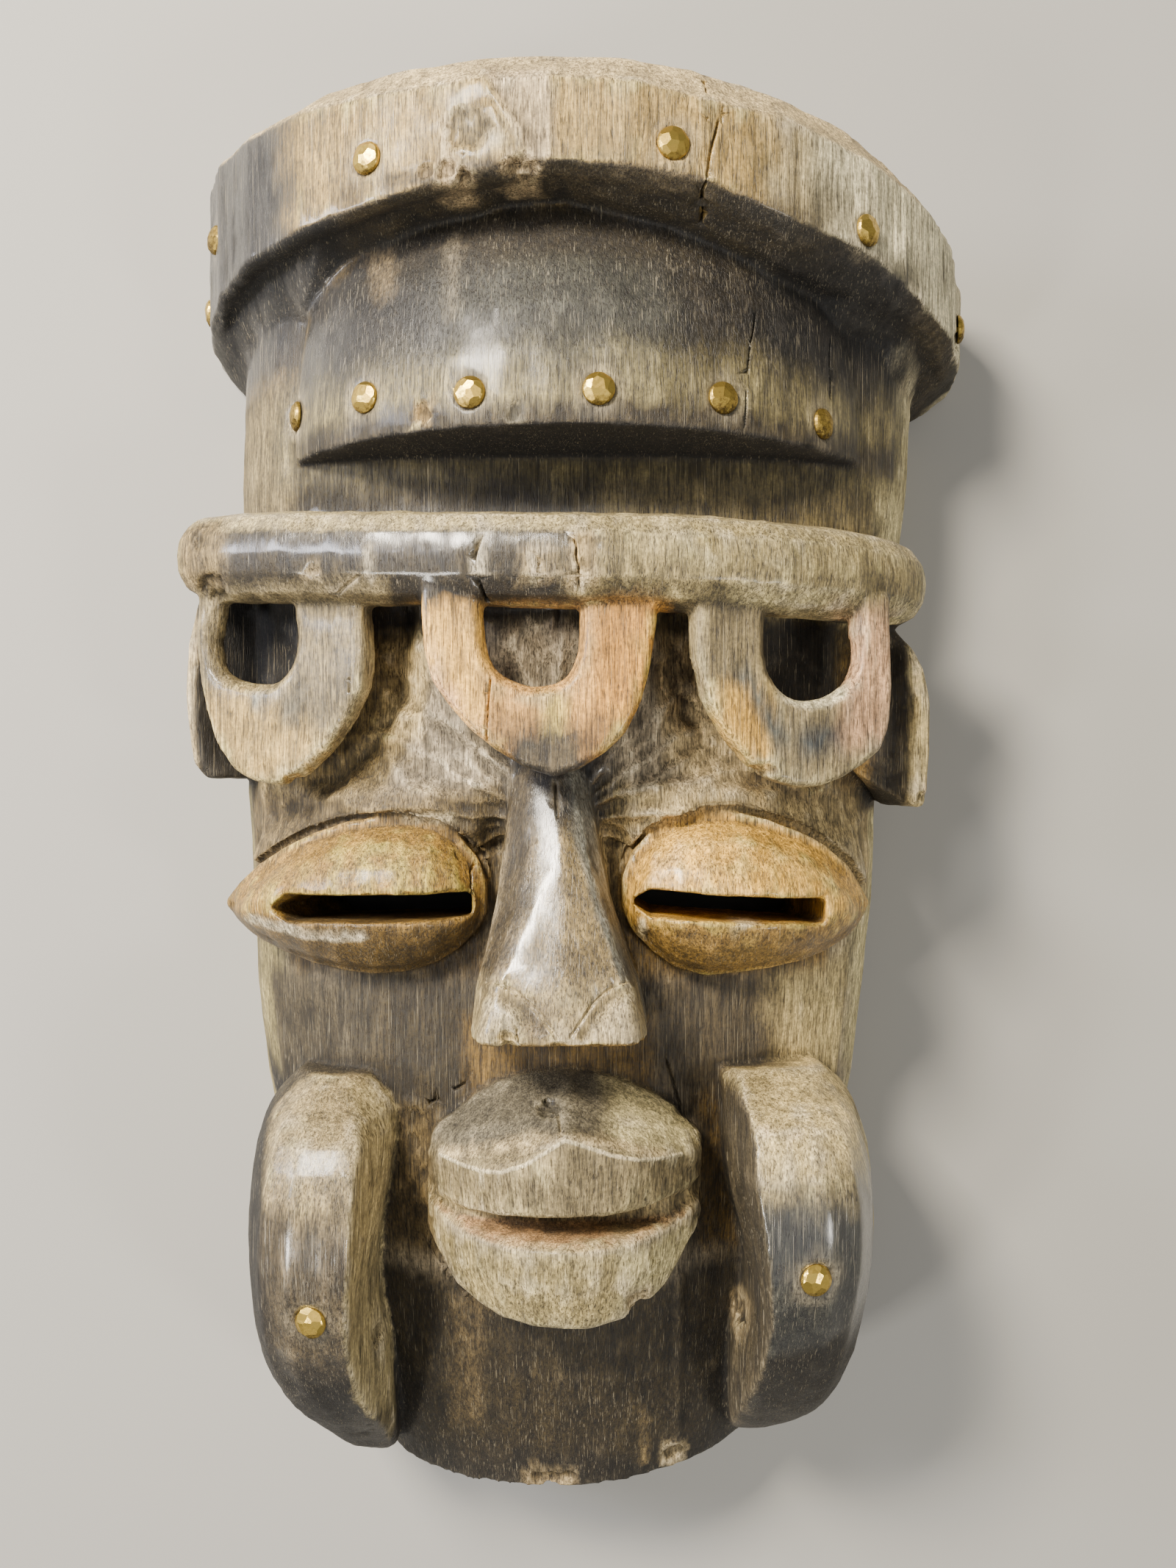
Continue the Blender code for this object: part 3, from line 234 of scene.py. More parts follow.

# Finishes of the wood, with the zones of painted shade and painted highlight marked: stain or painted
# light colour, gloss, outline, depths and their slope across, facing, soft edge.
FINISHES_AND_PAINTED_LIGHT = {
    "left_side": ("khaki", 0.25, spread(-150, -96, -230, 165), (8, 90, 0), LEFT, 5),
    "right_side": ("pale_straw", 0.2, spread(88, 150, -230, 165), (8, 90, 0), RIGHT, 5),
    "left_brow": ("cocoa", 0.4, spread(-118, -20, -30, 8), (40, 96, 0), None, 4),
    "right_brow": ("sand", 0.4, spread(0, 102, -30, 8), (40, 96, 0), None, 4),
    "hewn_left": ("nut", 0.15, spread(-112, -6, 6, 66), (40, 84, 0), None, 4),
    "hewn_right": ("dry_tan", 0.2, spread(-6, 100, 6, 66), (40, 84, 0), None, 6),
    "hewn_far_right": ("russet", 0.2, spread(50, 100, 6, 66), (40, 80, 0), None, 8),
    "lump": ("sand", 0.15, ((-62, 58), (-46, 56), (-50, 24), (-65, 24)), (40, 90, 0), None, 3),
    # Painted shade: the deep wall between the ledge and the bar, darkened as the ledge and the bar
    # shade it.
    "recess": ("pitch", 0.15, spread(-110, 104, 80, 112), (40, 100, 0), None, 2),
    "side_strip_left": ("fawn", 0.2, spread(-136, -92, 86, 160), (-5, 72, 0), None, 4),
    "side_strip_right": ("pale_straw", 0.2, spread(96, 130, 86, 150), (-5, 72, 0), None, 4),
    "left_cheek": ("walnut", 0.35, spread(-116, -30, -100, -50), (50, 100, 0), None, 4),
    "left_cheek_inner": ("dark_walnut", 0.35, spread(-66, -30, -96, -52), (50, 100, 0), None, 6),
    "right_cheek": ("bark", 0.35, spread(16, 98, -96, -50), (50, 100, 0), None, 4),
    "right_cheek_outer": ("straw", 0.35, spread(62, 100, -90, -48), (50, 100, 0), None, 8),
    "under_nose": ("russet", 0.3, spread(-36, 20, -86, -63), (50, 99, 0), None, 4),
    "beside_mouth_left": ("cocoa", 0.25, spread(-66, -44, -140, -92), (50, 92, 0), None, 4),
    "beside_mouth_right": ("burnt_honey", 0.25, spread(34, 50, -140, -88), (50, 92, 0), None, 4),
    "chin": ("dark_walnut", 0.3, ((-66, -142), (-40, -146), (20, -146), (50, -140), (50, -224),
                              (-72, -226)), (20, 100, 0), None, 4),
    "chin_foot": ("pitch", 0.25, spread(-76, 66, -226, -208), (10, 100, 0), None, 8),
    "brim": ("wheat", 0.7, spread(-140, 140, 138, 224), (-2, 130, 0), None, 3),
    "brim_left": ("smoke", 0.75, spread(-140, -88, 138, 224), (-2, 130, 0), None, 10),
    "brim_middle": ("wheat", 0.55, spread(-60, 60, 176, 224), (90, 130, 0), None, 16),
    "brim_right": ("bone", 0.35, spread(62, 140, 138, 224), (-2, 130, 0), None, 16),
    # Painted highlight: the brim's upward faces, made lighter as the light falls on them from above.
    "brim_top": ("dry_tan", 0.4, spread(-140, 140, 150, 230), (-2, 130, 0), UP, 3),
    # Painted shade: the brim's downward faces, darkened as they turn away from the light.
    "brim_low_face": ("slate", 0.35, spread(-140, 140, 140, 186), (10, 130, 0), DOWN, 3),
    # Painted shade: the soffits under the brim, darkened as they face down, away from the light.
    "soffit": ("dark_walnut", 0.3, spread(-84, 80, 140, 190), (60, 118, 0), DOWN, 3),
    "soffit_left": ("soot", 0.2, spread(-128, -72, 130, 180), (-5, 100, 0), DOWN, 8),
    "soffit_right": ("dark_walnut", 0.2, spread(74, 128, 126, 170), (-5, 100, 0), DOWN, 8),
    "forehead": ("slate", 0.62, FOREHEAD, (54, 118.5, 0), FRONT, 2.5),
    "forehead_left": ("smoke", 0.9, spread(-94, -44, 110, 172), (54, 112, 0), FRONT, 10),
    # The right of the forehead is painted darker towards its edge.
    "forehead_right": ("pitch", 0.55, spread(26, 60, 118, 176), (54, 118, 0), FRONT, 8),
    "forehead_far_right": ("smoke", 0.5, spread(56, 104, 118, 168), (40, 100, 0), None, 6),
    # Painted shadow: the brim's shadow across the top of the forehead.
    "forehead_top": ("char", 0.5, spread(-70, 70, 160, 182), (54, 106, 0), FRONT, 8),
    "ledge_warm": ("khaki", 0.5, spread(-93, 104, 109, 128), (40, 120, 0), FRONT, 14),
    "ledge_front": ("dark_walnut", 0.5, spread(-93, 104, 109, 119), (40, 120, 0), FRONT, 3),
    # Painted shade: the underside of the ledge, turned down away from the light.
    "ledge_under": ("smoke", 0.15, spread(-95, 106, 108, 114), (40, 118, 0), DOWN, 2),
    "bar": ("dark_walnut", 0.75, spread(-126, 105, 56, 96), (66, 124, 0.1), None, 3),
    # Painted highlight: the bar's upper side, made lighter as the light falls on it from above.
    "bar_top": ("oat", 0.7, spread(-126, 105, 70, 96), (60, 124, 0), UP, 3),
    # Painted shade: the underside of the bar at its left and in its middle.
    "bar_left_low": ("char", 0.55, spread(-126, -20, 56, 76), (60, 124, 0), DOWN, 8),
    "bar_middle_low": ("pitch", 0.55, spread(-24, 50, 56, 74), (60, 124, 0), DOWN, 8),
    "bar_right_low": ("pale_straw", 0.5, spread(44, 106, 56, 76), (50, 124, 0), DOWN, 8),
    "bar_right": ("dry_grass", 0.45, spread(5, 105, 64, 92), (60, 124, 0), FRONT, 18),
    "bar_left_end": ("cocoa", 0.4, spread(-128, -110, 64, 92), (50, 90, 0), None, 4),
    "loop_left": ("fawn", 0.6, spread(-124, -57, 5, 69), (114, 136, 0.417), None, 2),
    "loop_left_low": ("wheat", 0.5, ((-124, 40), (-104, 38), (-84, 28), (-72, 14), (-88, 4),
                                       (-124, 8)), (114, 136, 0.417), None, 4),
    "loop_middle": ("ochre", 0.5, spread(-50, 24, 8, 60.5), (102, 118, 0), None, 2),
    "loop_middle_left": ("gold_ochre", 0.5, ((-50, 60.5), (-26, 60.5), (-28, 30), (-36, 20), (-50, 34)),
                         (102, 118, 0), None, 3),
    "loop_middle_purple": ("ochre", 0.5, ((-27, 33), (-12.5, 33), (-12.5, 11), (-29, 15)),
                           (104, 118, 0), None, 2.5),
    "loop_middle_yellow": ("yellow_ochre", 0.5, ((-12, 35), (-5, 35), (-5, 10), (-12, 10)),
                           (104, 118, 0), None, 2),
    "loop_middle_brown": ("warm_ochre", 0.5, ((-4.5, 34), (9, 34), (7, 14), (-4.5, 11)),
                          (104, 118, 0), None, 3),
    "loop_middle_right": ("deep_ochre", 0.5, ((4, 60.5), (23, 60.5), (23, 38), (12, 22), (6, 26),
                                           (2, 36)), (102, 118, 0), None, 3),
    "loop_right": ("fawn", 0.5, spread(29, 98, 4, 60.5), (112, 130, -0.331), None, 2),
    "loop_right_ochre": ("honey", 0.5, ((38, 37), (54, 37), (54, 15), (46, 15), (38, 26)),
                         (112, 130, -0.331), None, 4),
    "loop_right_blue": ("washed_blue", 0.55, ((43, 41), (48, 41), (60, 22), (56, 19)),
                        (112, 130, -0.331), None, 2.5),
    "loop_right_blue_2": ("old_blue", 0.5, ((62, 26), (79, 27), (76, 18), (63, 16)),
                          (112, 130, -0.331), None, 3),
    "loop_right_pink": ("pink_clay", 0.5, spread(76, 98, 20, 60.5), (112, 130, -0.331), None, 5),
    "hole_rims": ("bone", 0.5, spread(46, 79, 30, 38), (108, 122, -0.331), UP, 2),
    # Painted shadow: the left ear's face, dark in the shadow of the left loop.
    "ear_left": ("pitch", 0.3, spread(-132, -108, 6, 80), (30, 70, 0), None, 3),
    "ear_left_rim": ("dry_tan", 0.35, spread(-136, -126.6, 8, 80), (54, 70, 0), None, 1.5),
    # The right ear's face: its brown wood, darkened by a painted shadow of the right loop.
    "ear_right_face": ("dark_walnut", 0.25, spread(92, 108, 0, 66), (30, 72, 0), None, 2),
    "ear_right_rim": ("straw", 0.35, spread(103.5, 116, -2, 68), (30, 74, 0), None, 2),
    "left_lid": ("old_honey", 0.55, LEFT_LID, (52, 110, 0), None, 2),
    "left_lid_low": ("burnt_honey", 0.55, ((-117, -31), (-30, -31), (-30, -50), (-117, -50)),
                     (60, 106, 0), None, 3),
    "right_lid": ("honey", 0.6, RIGHT_LID, (52, 110, 0), None, 2),
    "right_lid_low": ("amber", 0.6, ((11, -32), (93, -32), (93, -50), (11, -50)),
                      (60, 106, 0), None, 3),
    "nose": ("nut", 0.95, NOSE, (84, 130, 0), None, 2),
    "nose_top": ("soot", 0.7, spread(-24, 6, -4, 27), (80, 112, 0), None, 6),
    "nose_side_left": ("bark", 0.6, NOSE, (84, 130, 0), LEFT, 2),
    "nose_side_right": ("stone_grey", 0.6, NOSE, (84, 130, 0), RIGHT, 2),
    "nose_wings": ("driftwood", 0.6, spread(-36, 20, -66, -48), (100, 130, 0), None, 4),
    "nose_underside": ("russet", 0.25, spread(-36, 20, -72, -62), (72, 124, 0), DOWN, 1.5),
    "upper_lip_top": ("dun", 0.5, spread(-48, 37, -103, -78), (83, 122, 0), None, 2.5),
    "upper_lip_right": ("pale_straw", 0.5, spread(8, 37, -103, -80), (83, 122, 0), None, 5),
    "upper_lip_front": ("fawn", 0.45, ((-46, -101), (-26, -96), (-5, -90), (14, -95),
                                          (34, -101), (36, -117), (-48, -118)),
                        (84, 122, 0), None, 3),
    "lip_crest": ("dry_tan", 0.5, ((-44, -101), (-20, -93.5), (-5, -89.5), (12, -93.5),
                                   (24, -98.5), (24, -100), (12, -95.2), (-5, -91.2),
                                   (-20, -95.2), (-44, -103)), (90, 124, 0), None, 1),
    "mouth_slot": ("driftwood", 0.3, spread(-48, 36, -122, -113), (60, 113, 0), None, 1.5),
    "lower_lip_rim": ("clay", 0.45, spread(-46, 34, -124, -118), (88, 120, 0), UP, 1.5),
    "lower_lip": ("dry_grass", 0.5, spread(-49, 37, -150, -123), (84, 120, 0), FRONT, 2),
    "lower_lip_right": ("pale_straw", 0.45, spread(10, 37, -150, -123), (84, 120, 0), None, 5),
    "horn_left": ("bark", 0.95, spread(-110, -60, -216, -78), (82, 116, 0), None, 3),
    "horn_left_top": ("driftwood", 0.6, spread(-110, -58, -112, -78), (80, 116, 0), None, 12),
    "horn_left_outer": ("smoke", 0.4, ((-110, -78), (-95, -92), (-92, -130), (-90, -170),
                                         (-78, -205), (-96, -210), (-116, -170)),
                        (36, 106, 0), LEFT, 3),
    "horn_left_low": ("smoke", 0.45, ((-96, -158), (-62, -166), (-60, -216), (-100, -216)),
                      (34, 102, 0), None, 12),
    "horn_left_flank": ("oat", 0.35, spread(-70, -56, -206, -82), (60, 112, 0), RIGHT, 3),
    "horn_right": ("slate", 0.95, spread(44, 94, -210, -78), (82, 116, 0), None, 3),
    "horn_right_top": ("straw", 0.6, spread(42, 94, -104, -78), (80, 116, 0), None, 13),
    "horn_right_low": ("pitch", 0.45, ((44, -152), (96, -148), (96, -210), (44, -210)),
                       (34, 102, 0), None, 12),
    "horn_right_flank": ("walnut", 0.35, spread(40, 56, -206, -82), (60, 112, 0), LEFT, 3),
    "knot_dark": ("driftwood", 0.5, ((-38.8, 201), (-32, 200), (-21.6, 195), (-18.7, 184.8),
                                   (-28, 186), (-36, 190)), (100, 126, 0), None, 1.5),
    "brim_low_dark": ("bark", 0.4, ((-58, 184), (-20, 183.5), (34, 180.5), (34, 176.4),
                                       (-20, 180.5), (-58, 178.6)), (100, 124, 0), None, 1.5),
    "forehead_band": ("smoke", 0.4, ((-86, 155), (-80, 162), (-67, 171.5), (-58, 173),
                                       (-61, 167), (-73, 160), (-81, 153)), (60, 100, 0), None, 2),
    "forehead_red": ("soot", 0.4, ((48.4, 159.6), (59, 162), (59.6, 158.2), (48.2, 155.4)),
                     (80, 104, 0), None, 1.5),
    "ledge_patch": ("dun", 0.5, ((-22.2, 118), (-17.8, 118), (-17.8, 112), (-22.2, 112)),
                    (100, 120, 0), None, 1),
    "nose_blotch": ("cocoa", 0.6, ((-17, -51), (-10, -50.6), (-10, -63), (-17, -63)),
                    (110, 128, 0), None, 3),
    "nose_band": ("walnut", 0.4, ((-10.3, 10.4), (-6.6, 10.4), (-6.6, 1), (-10.2, 1)),
                  (90, 110, 0), None, 1),
    "loop_blue_a": ("stone_grey", 0.5, spread(-103.3, -98.8, 31.7, 36.8), (114, 136, 0.417),
                    None, 1.5),
    "loop_blue_b": ("dun", 0.5, spread(-92.5, -85.6, 26.7, 36.4), (114, 136, 0.417),
                    None, 2),
    # Painted shade: the hollows behind the left and the right loop.
    "behind_left_loop": ("soot", 0.1, spread(-118, -90, 36, 70), (0, 68, 0), None, 2),
    "behind_right_loop": ("char", 0.1, spread(54, 82, 34, 62), (0, 84, 0), None, 3),
    "horn_left_end": ("pitch", 0.5, spread(-72, -62, -207, -188), (50, 84, 0), None, 3),
}

# Bare fresh wood in breaks and rubs: colour, how strong, outline, depths, soft edge.
BARE = {
    "knot": ("#b8a27c", 0.9, ((-28.3, 211.4), (-15.9, 209.7), (-10.3, 210), (-8.8, 196.8),
                              (-9.4, 183.9), (-12.3, 183), (-16.6, 184.1), (-18.7, 189.7),
                              (-21.6, 195.7), (-25.1, 201.5)), (100, 126, 0), 0.9),
    "brim_stripe": ("#c0ab83", 0.8, spread(-40.7, -38.1, 187.5, 199), (100, 126, 0), 0.8),
    "brim_chip_a": ("#b39a70", 0.8, spread(-47, -43.3, 181.4, 184.6), (100, 124, 0), 1.2),
    "brim_chip_b": ("#b89f75", 0.9, spread(-42, -36.2, 179.2, 186), (100, 124, 0), 1.5),
    "brim_chip_c": ("#b39a70", 0.8, spread(-36.2, -31.6, 179.2, 183), (100, 124, 0), 1.2),
    "brim_chip_d": ("#b39a70", 0.9, spread(-23, -13, 180.6, 184.5), (100, 126, 0), 1.2),
    "forehead_mark": ("#8f7a55", 0.35, ((-67.6, 171.8), (-57.8, 172.1), (-56.8, 154.8),
                                       (-63, 154.6)), (70, 104, 0), 1.5),
    "forehead_streak": ("#8d8067", 0.25, ((-41.6, 174), (-37.2, 173), (-36.2, 143), (-40.4, 143)),
                        (85, 112, 0), 1.5),
    "ledge_chip": ("#b5965f", 0.9, spread(-49.4, -44.6, 113, 120), (90, 112, 0), 1.0),
    "bar_ridge": ("#bfb397", 0.6, spread(-31, -27.5, 68.4, 86), (100, 124, 0), 1.0),
    "bar_knot": ("#b09a6e", 0.7, ((-16.5, 76.4), (-12.4, 77.6), (-8.5, 75.2), (-8.5, 67),
                                  (-12.5, 66.3), (-16.6, 67.3)), (100, 124, 0), 1.5),
    "bar_bare": ("#b59c6c", 0.85, ((-3.9, 80), (2.9, 80), (2.9, 64), (-4, 64)), (100, 124, 0),
                 1.5),
    "bar_patch": ("#bfa87c", 0.9, spread(-82.2, -77.5, 70, 72.3), (90, 110, 0), 0.8),
    "bar_mark": ("#b5a88c", 0.7, spread(-62.8, -61.6, 69, 80.3), (100, 114, 0), 0.6),
    "bar_slash": ("#c2b08a", 0.9, ((-74.4, 64), (-66, 68.2), (-65.8, 70), (-74, 65.8)),
                  (90, 112, 0), 0.7),
    "loop_fleck": ("#d6cdb4", 0.9, spread(-34.7, -32, 33.3, 34.9), (104, 118, 0), 0.6),
    "eye_chip": ("#cdbb92", 0.8, ((-56.7, -0.3), (-39.7, -0.3), (-39.7, -3.2), (-55, -2.9)),
                 (70, 92, 0), 1.0),
    "lower_lid_chips": ("#cfc3a4", 0.7, ((-106.8, -33.5), (-83.2, -37.8), (-64.9, -37.6),
                                         (-64.6, -35.2), (-82.8, -35), (-103.4, -31)),
                        (68, 104, 0), 0.8),
    "lid_block": ("#d2c092", 0.8, ((16, -31.1), (18.2, -31), (18.3, -37), (16.3, -37.3)),
                  (80, 100, 0), 0.7),
    "lid_splinter": ("#d2be8e", 0.8, ((45.2, -31.2), (52.5, -31.6), (51, -32.6), (44.6, -34)),
                     (80, 104, 0), 0.6),
    "nose_chip": ("#cbb277", 0.9, ((-24, -60.6), (-18.6, -60.4), (-19.2, -66), (-25, -66)),
                  (100, 124, 0), 1.0),
    "lip_chip": ("#bda67c", 0.85, ((11.8, -137), (19.6, -138), (21, -150), (12.8, -150)),
                 (88, 114, 0), 1.2),
    "horn_chip": ("#c4b184", 0.8, ((-65.6, -159), (-63.4, -160), (-62.8, -167), (-65.6, -166)),
                  (64, 86, 0), 0.8),
    "horn_spur": ("#b09a70", 0.7, ((47.1, -154.5), (51, -150), (50.7, -157), (47.2, -165)),
                  (60, 86, 0), 1.0),
    "chin_streak_a": ("#6d5c3c", 0.4, ((-42, -152), (-31, -150), (-33.5, -198), (-44, -200)),
                      (50, 90, 0), 2.5),
    "chin_streak_b": ("#7d6a45", 0.7, spread(18.6, 20.2, -214, -194), (50, 66, 0), 0.7),
    "bottom_a": ("#8f7b56", 0.7, spread(-20, -3, -222, -215), (30, 64, 0), 1.5),
    "bottom_b": ("#b7a277", 0.8, ((24.8, -206.6), (32.8, -208), (33, -218), (25, -216)),
                 (30, 62, 0), 1.5),
    "brim_dash_a": ("#c9bb9c", 0.8, spread(84.2, 86.4, 189, 191), (86, 104, 0), 0.5),
    "brim_dash_b": ("#c9bb9c", 0.8, spread(91.9, 94.2, 184, 186), (80, 98, 0), 0.5),
}

# The tacks: the way each head faces, and how tarnished it is.
TACKS = {
    "brim_tack_1": ((-1.0, 0.0, 0.16), 0.35),
    "brim_tack_2": ((-0.78, 0.0, 0.63), 0.85),
    "brim_tack_3": ((-0.5, 0.0, 0.87), 0.2),
    "brim_tack_4": ((0.2, 0.0, 0.98), 0.15),
    "brim_tack_5": ((0.63, 0.0, 0.77), 0.3),
    "brim_tack_6": ((1.0, 0.0, 0.2), 0.5),
    "ledge_tack_1": ((-0.93, 0.0, 0.37), 0.7),
    "ledge_tack_2": ((-0.53, 0.0, 0.85), 0.3),
    "ledge_tack_3": ((-0.26, 0.0, 0.97), 0.25),
    "ledge_tack_4": ((0.05, 0.0, 1.0), 0.2),
    "ledge_tack_5": ((0.38, 0.0, 0.92), 0.65),
    "ledge_tack_6": ((0.72, 0.0, 0.69), 0.7),
    "left_cheek_tack": ((-0.25, -0.1, 0.96), 0.2),
    "right_cheek_tack": ((0.25, -0.05, 0.97), 0.2),
}
TACK_HEAD_HEIGHT = 2.7
TACK_RIM = 0.4
DENTS = 11

# The triangles the wood is thinned to, the fewest and most it may end with, and how far from the
# cracks each step of refining goes, in mm.
WOOD_TRIANGLES = 142000.0
FEWEST_TRIANGLES = 20000
MOST_TRIANGLES = 199000
CRACK_REACHES = (1.9, 1.3, 0.9)

# The stage in metres, and the camera: its sensor in mm, and its focal length and the
# photograph's height in pixels.
FLOOR_HALF_WIDTH = 3.0
FLOOR_GAP = 0.0002
LIGHTS_AIM = (0.0, 0.0, 0.06)
SENSOR_WIDTH = 36.0
FOCAL_PIXELS = 1800.0
PHOTO_HEIGHT = 2133.0


def linear(colour):
    """Turn an sRGB hex colour to linear numbers."""
    parts = [int(colour[at:at + 2], 16) / 255.0 for at in (1, 3, 5)]
    return tuple(p / 12.92 if p <= 0.04045 else ((p + 0.055) / 1.055) ** 2.4 for p in parts)


def add_node(tree, kind, inputs=None, **settings):
    """Add a node with its settings, and link or set its inputs."""
    made = tree.nodes.new(kind)
    for key, value in settings.items():
        setattr(made, key, value)
    for key, value in (inputs or {}).items():
        if isinstance(value, bpy.types.NodeSocket):
            tree.links.new(value, made.inputs[key])
        else:
            made.inputs[key].default_value = value
    return made


def new_material(name):
    """Start a material with an empty node tree."""
    material = bpy.data.materials.new(name)
    material.use_nodes = True
    material.node_tree.nodes.clear()
    return material


def step_between(low, high, value):
    """Rise smoothly from 0 to 1."""
    share = np.clip((value - low) / (high - low), 0.0, 1.0)
    return share * share * (3.0 - 2.0 * share)


def scatter(cell, seed):
    """Give each cell of a grid its own number from 0 to 1."""
    mixed = (cell[:, 0] * 374761393 + cell[:, 1] * 668265263 + cell[:, 2] * 2147483029
             + seed * 144269504) & 0xFFFFFFFF
    mixed = ((mixed ^ (mixed >> 13)) * 1274126177) & 0xFFFFFFFF
    mixed = ((mixed ^ (mixed >> 15)) * 2246822519) & 0xFFFFFFFF
    return ((mixed ^ (mixed >> 16)) & 0xFFFFFF) / 0xFFFFFF


def waver(points, size, seed, layers=1):
    """Smooth unevenness from -1 to 1 with lumps of the given size."""
    total = np.zeros(len(points))
    weight = 1.0
    whole = 0.0
    size = np.array(size, float) * np.ones(3)
    for layer in range(layers):
        spot = points / size
        cell = np.floor(spot).astype(np.int64)
        share = spot - cell
        share = share * share * (3.0 - 2.0 * share)
        value = np.zeros(len(points))
        for corner in range(8):
            step = np.array((corner & 1, corner >> 1 & 1, corner >> 2 & 1))
            near = np.prod(np.where(step, share, 1.0 - share), axis=1)
            value += near * scatter(cell + step, seed + layer * 17)
        total += weight * (value * 2.0 - 1.0)
        whole += weight
        weight *= 0.5
        size = size * 0.5
    return total / whole


def scoops(points, size, seed):
    """Shallow dishes with ridges between them, as a knife or an adze leaves."""
    spot = points / np.array(size, float)
    cell = np.floor(spot).astype(np.int64)
    best = np.full(len(points), 9.0)
    for at in range(27):
        near = cell + np.array((at % 3 - 1, at // 3 % 3 - 1, at // 9 - 1))
        middle = near + 0.1 + 0.8 * np.stack([scatter(near, seed + k) for k in range(3)], axis=1)
        best = np.minimum(best, ((middle - spot) ** 2).sum(axis=1))
    return np.clip(best, 0.0, 1.0)


def line_distance(points, line):
    """How far each point is from a drawn line."""
    best = np.full(len(points), 1e9)
    for start, end in zip(line, line[1:]):
        run = end - start
        share = np.clip(((points - start) @ run) / max(run @ run, 1e-12), 0.0, 1.0)
        best = np.minimum(best, np.linalg.norm(points - start - share[:, None] * run, axis=1))
    return best


def outline_distance(across, along, outline):
    """How far each point is outside an outline; inside it is negative."""
    inside = np.zeros(len(across), bool)
    best = np.full(len(across), 1e9)
    for (x0, y0), (x1, y1) in zip(outline, outline[1:] + outline[:1]):
        ex, ey = x1 - x0, y1 - y0
        share = np.clip(((across - x0) * ex + (along - y0) * ey) / max(ex * ex + ey * ey, 1e-9),
                        0.0, 1.0)
        best = np.minimum(best, np.hypot(across - x0 - share * ex, along - y0 - share * ey))
        if y0 != y1:
            inside ^= ((y0 > along) != (y1 > along)) & (across < ex * (along - y0) / ey + x0)
    return np.where(inside, -best, best)


def zone_weight(points, normals, wander, outline, depths, facing, soft):
    """How much of a finish each point takes."""
    weight = np.zeros(len(points))
    x = points[:, 0] + wander[:, 0] * soft * 0.5
    y = points[:, 1] + wander[:, 1] * soft * 0.5
    corners = np.array(outline, float)
    low = corners.min(axis=0) - soft
    high = corners.max(axis=0) + soft
    pick = np.flatnonzero((x > low[0]) & (x < high[0]) & (y > low[1]) & (y < high[1]))
    if not len(pick):
        return weight
    part = step_between(soft, -soft, outline_distance(x[pick], y[pick], tuple(outline)))
    level = points[pick, 2] - depths[2] * points[pick, 0]
    part *= step_between(depths[0] - 2.0, depths[0] + 1.0, level)
    part *= step_between(depths[1] + 2.0, depths[1] - 1.0, level)
    if facing is not None:
        part *= step_between(0.25, 0.65, normals[pick] @ np.array(facing))
    weight[pick] = part
    return weight


def mesh_arrays(mesh):
    """Read a mesh's points in millimetres, its normals and its edges."""
    count = len(mesh.vertices)
    points = np.empty(count * 3)
    mesh.vertices.foreach_get("co", points)
    normals = np.empty(count * 3)
    mesh.vertex_normals.foreach_get("vector", normals)
    edges = np.empty(len(mesh.edges) * 2, np.int64)
    mesh.edges.foreach_get("vertices", edges)
    return points.reshape(-1, 3) / MM, normals.reshape(-1, 3), edges.reshape(-1, 2)


def settle_points(mesh, points):
    """Write points in millimetres back to a mesh."""
    mesh.vertices.foreach_set("co", (points * MM).ravel())
    mesh.update()


def averaged(values, edges, rounds):
    """Blend each point's values with its neighbours'."""
    count = len(values)
    shares = np.bincount(edges.ravel(), minlength=count).astype(float)
    shares[shares == 0] = 1.0
    for _ in range(rounds):
        total = np.stack([
            np.bincount(edges[:, 0], values[edges[:, 1], k], count)
            + np.bincount(edges[:, 1], values[edges[:, 0], k], count)
            for k in range(values.shape[1])], axis=1)
        values = 0.5 * values + 0.5 * total / shares[:, None]
    return values


def settle_modifiers(item):
    """Turn an object's modifiers into its own mesh."""
    graph = bpy.context.evaluated_depsgraph_get()
    mesh = bpy.data.meshes.new_from_object(item.evaluated_get(graph))
    old = item.data
    item.modifiers.clear()
    item.data = mesh
    bpy.data.meshes.remove(old)


def new_piece(name, mesh):
    """Add a piece to the scene."""
    item = bpy.data.objects.new(name, mesh)
    bpy.context.scene.collection.objects.link(item)
    return item


def eye_rim(points, normals):
    """The brow that stands over each lid, and the hollow under its edge."""
    rise = np.zeros(len(points))
    x, y, z = points.T
    for rows in EYES:
        table = np.array(rows)
        upper = np.interp(x, table[:, 0], table[:, 1])
        lower = np.interp(x, table[:, 0], table[:, 2])
        slope = np.gradient(table[:, 1], table[:, 0])
        lean = 1.0 / np.sqrt(1.0 + np.interp(x, table[:, 0], slope) ** 2)
        above = (y - upper) * lean
        below = (lower - y) * lean
        ends = step_between(table[0, 0] - 3, table[0, 0] + 4, x) * step_between(
            table[-1, 0] + 3, table[-1, 0] - 4, x)
        here = ends * (z > 50) * step_between(0.1, 0.5, normals[:, 2])
        rise += here * 4.2 * step_between(-0.5, 0.8, above) * step_between(13.0, 1.5, above)
        rise -= here * 2.2 * step_between(0.4, -0.8, above) * step_between(-10.0, -1.2, above)
        rise -= here * 0.7 * step_between(0.4, -0.6, below) * step_between(-4.0, -1.0, below)
    return rise


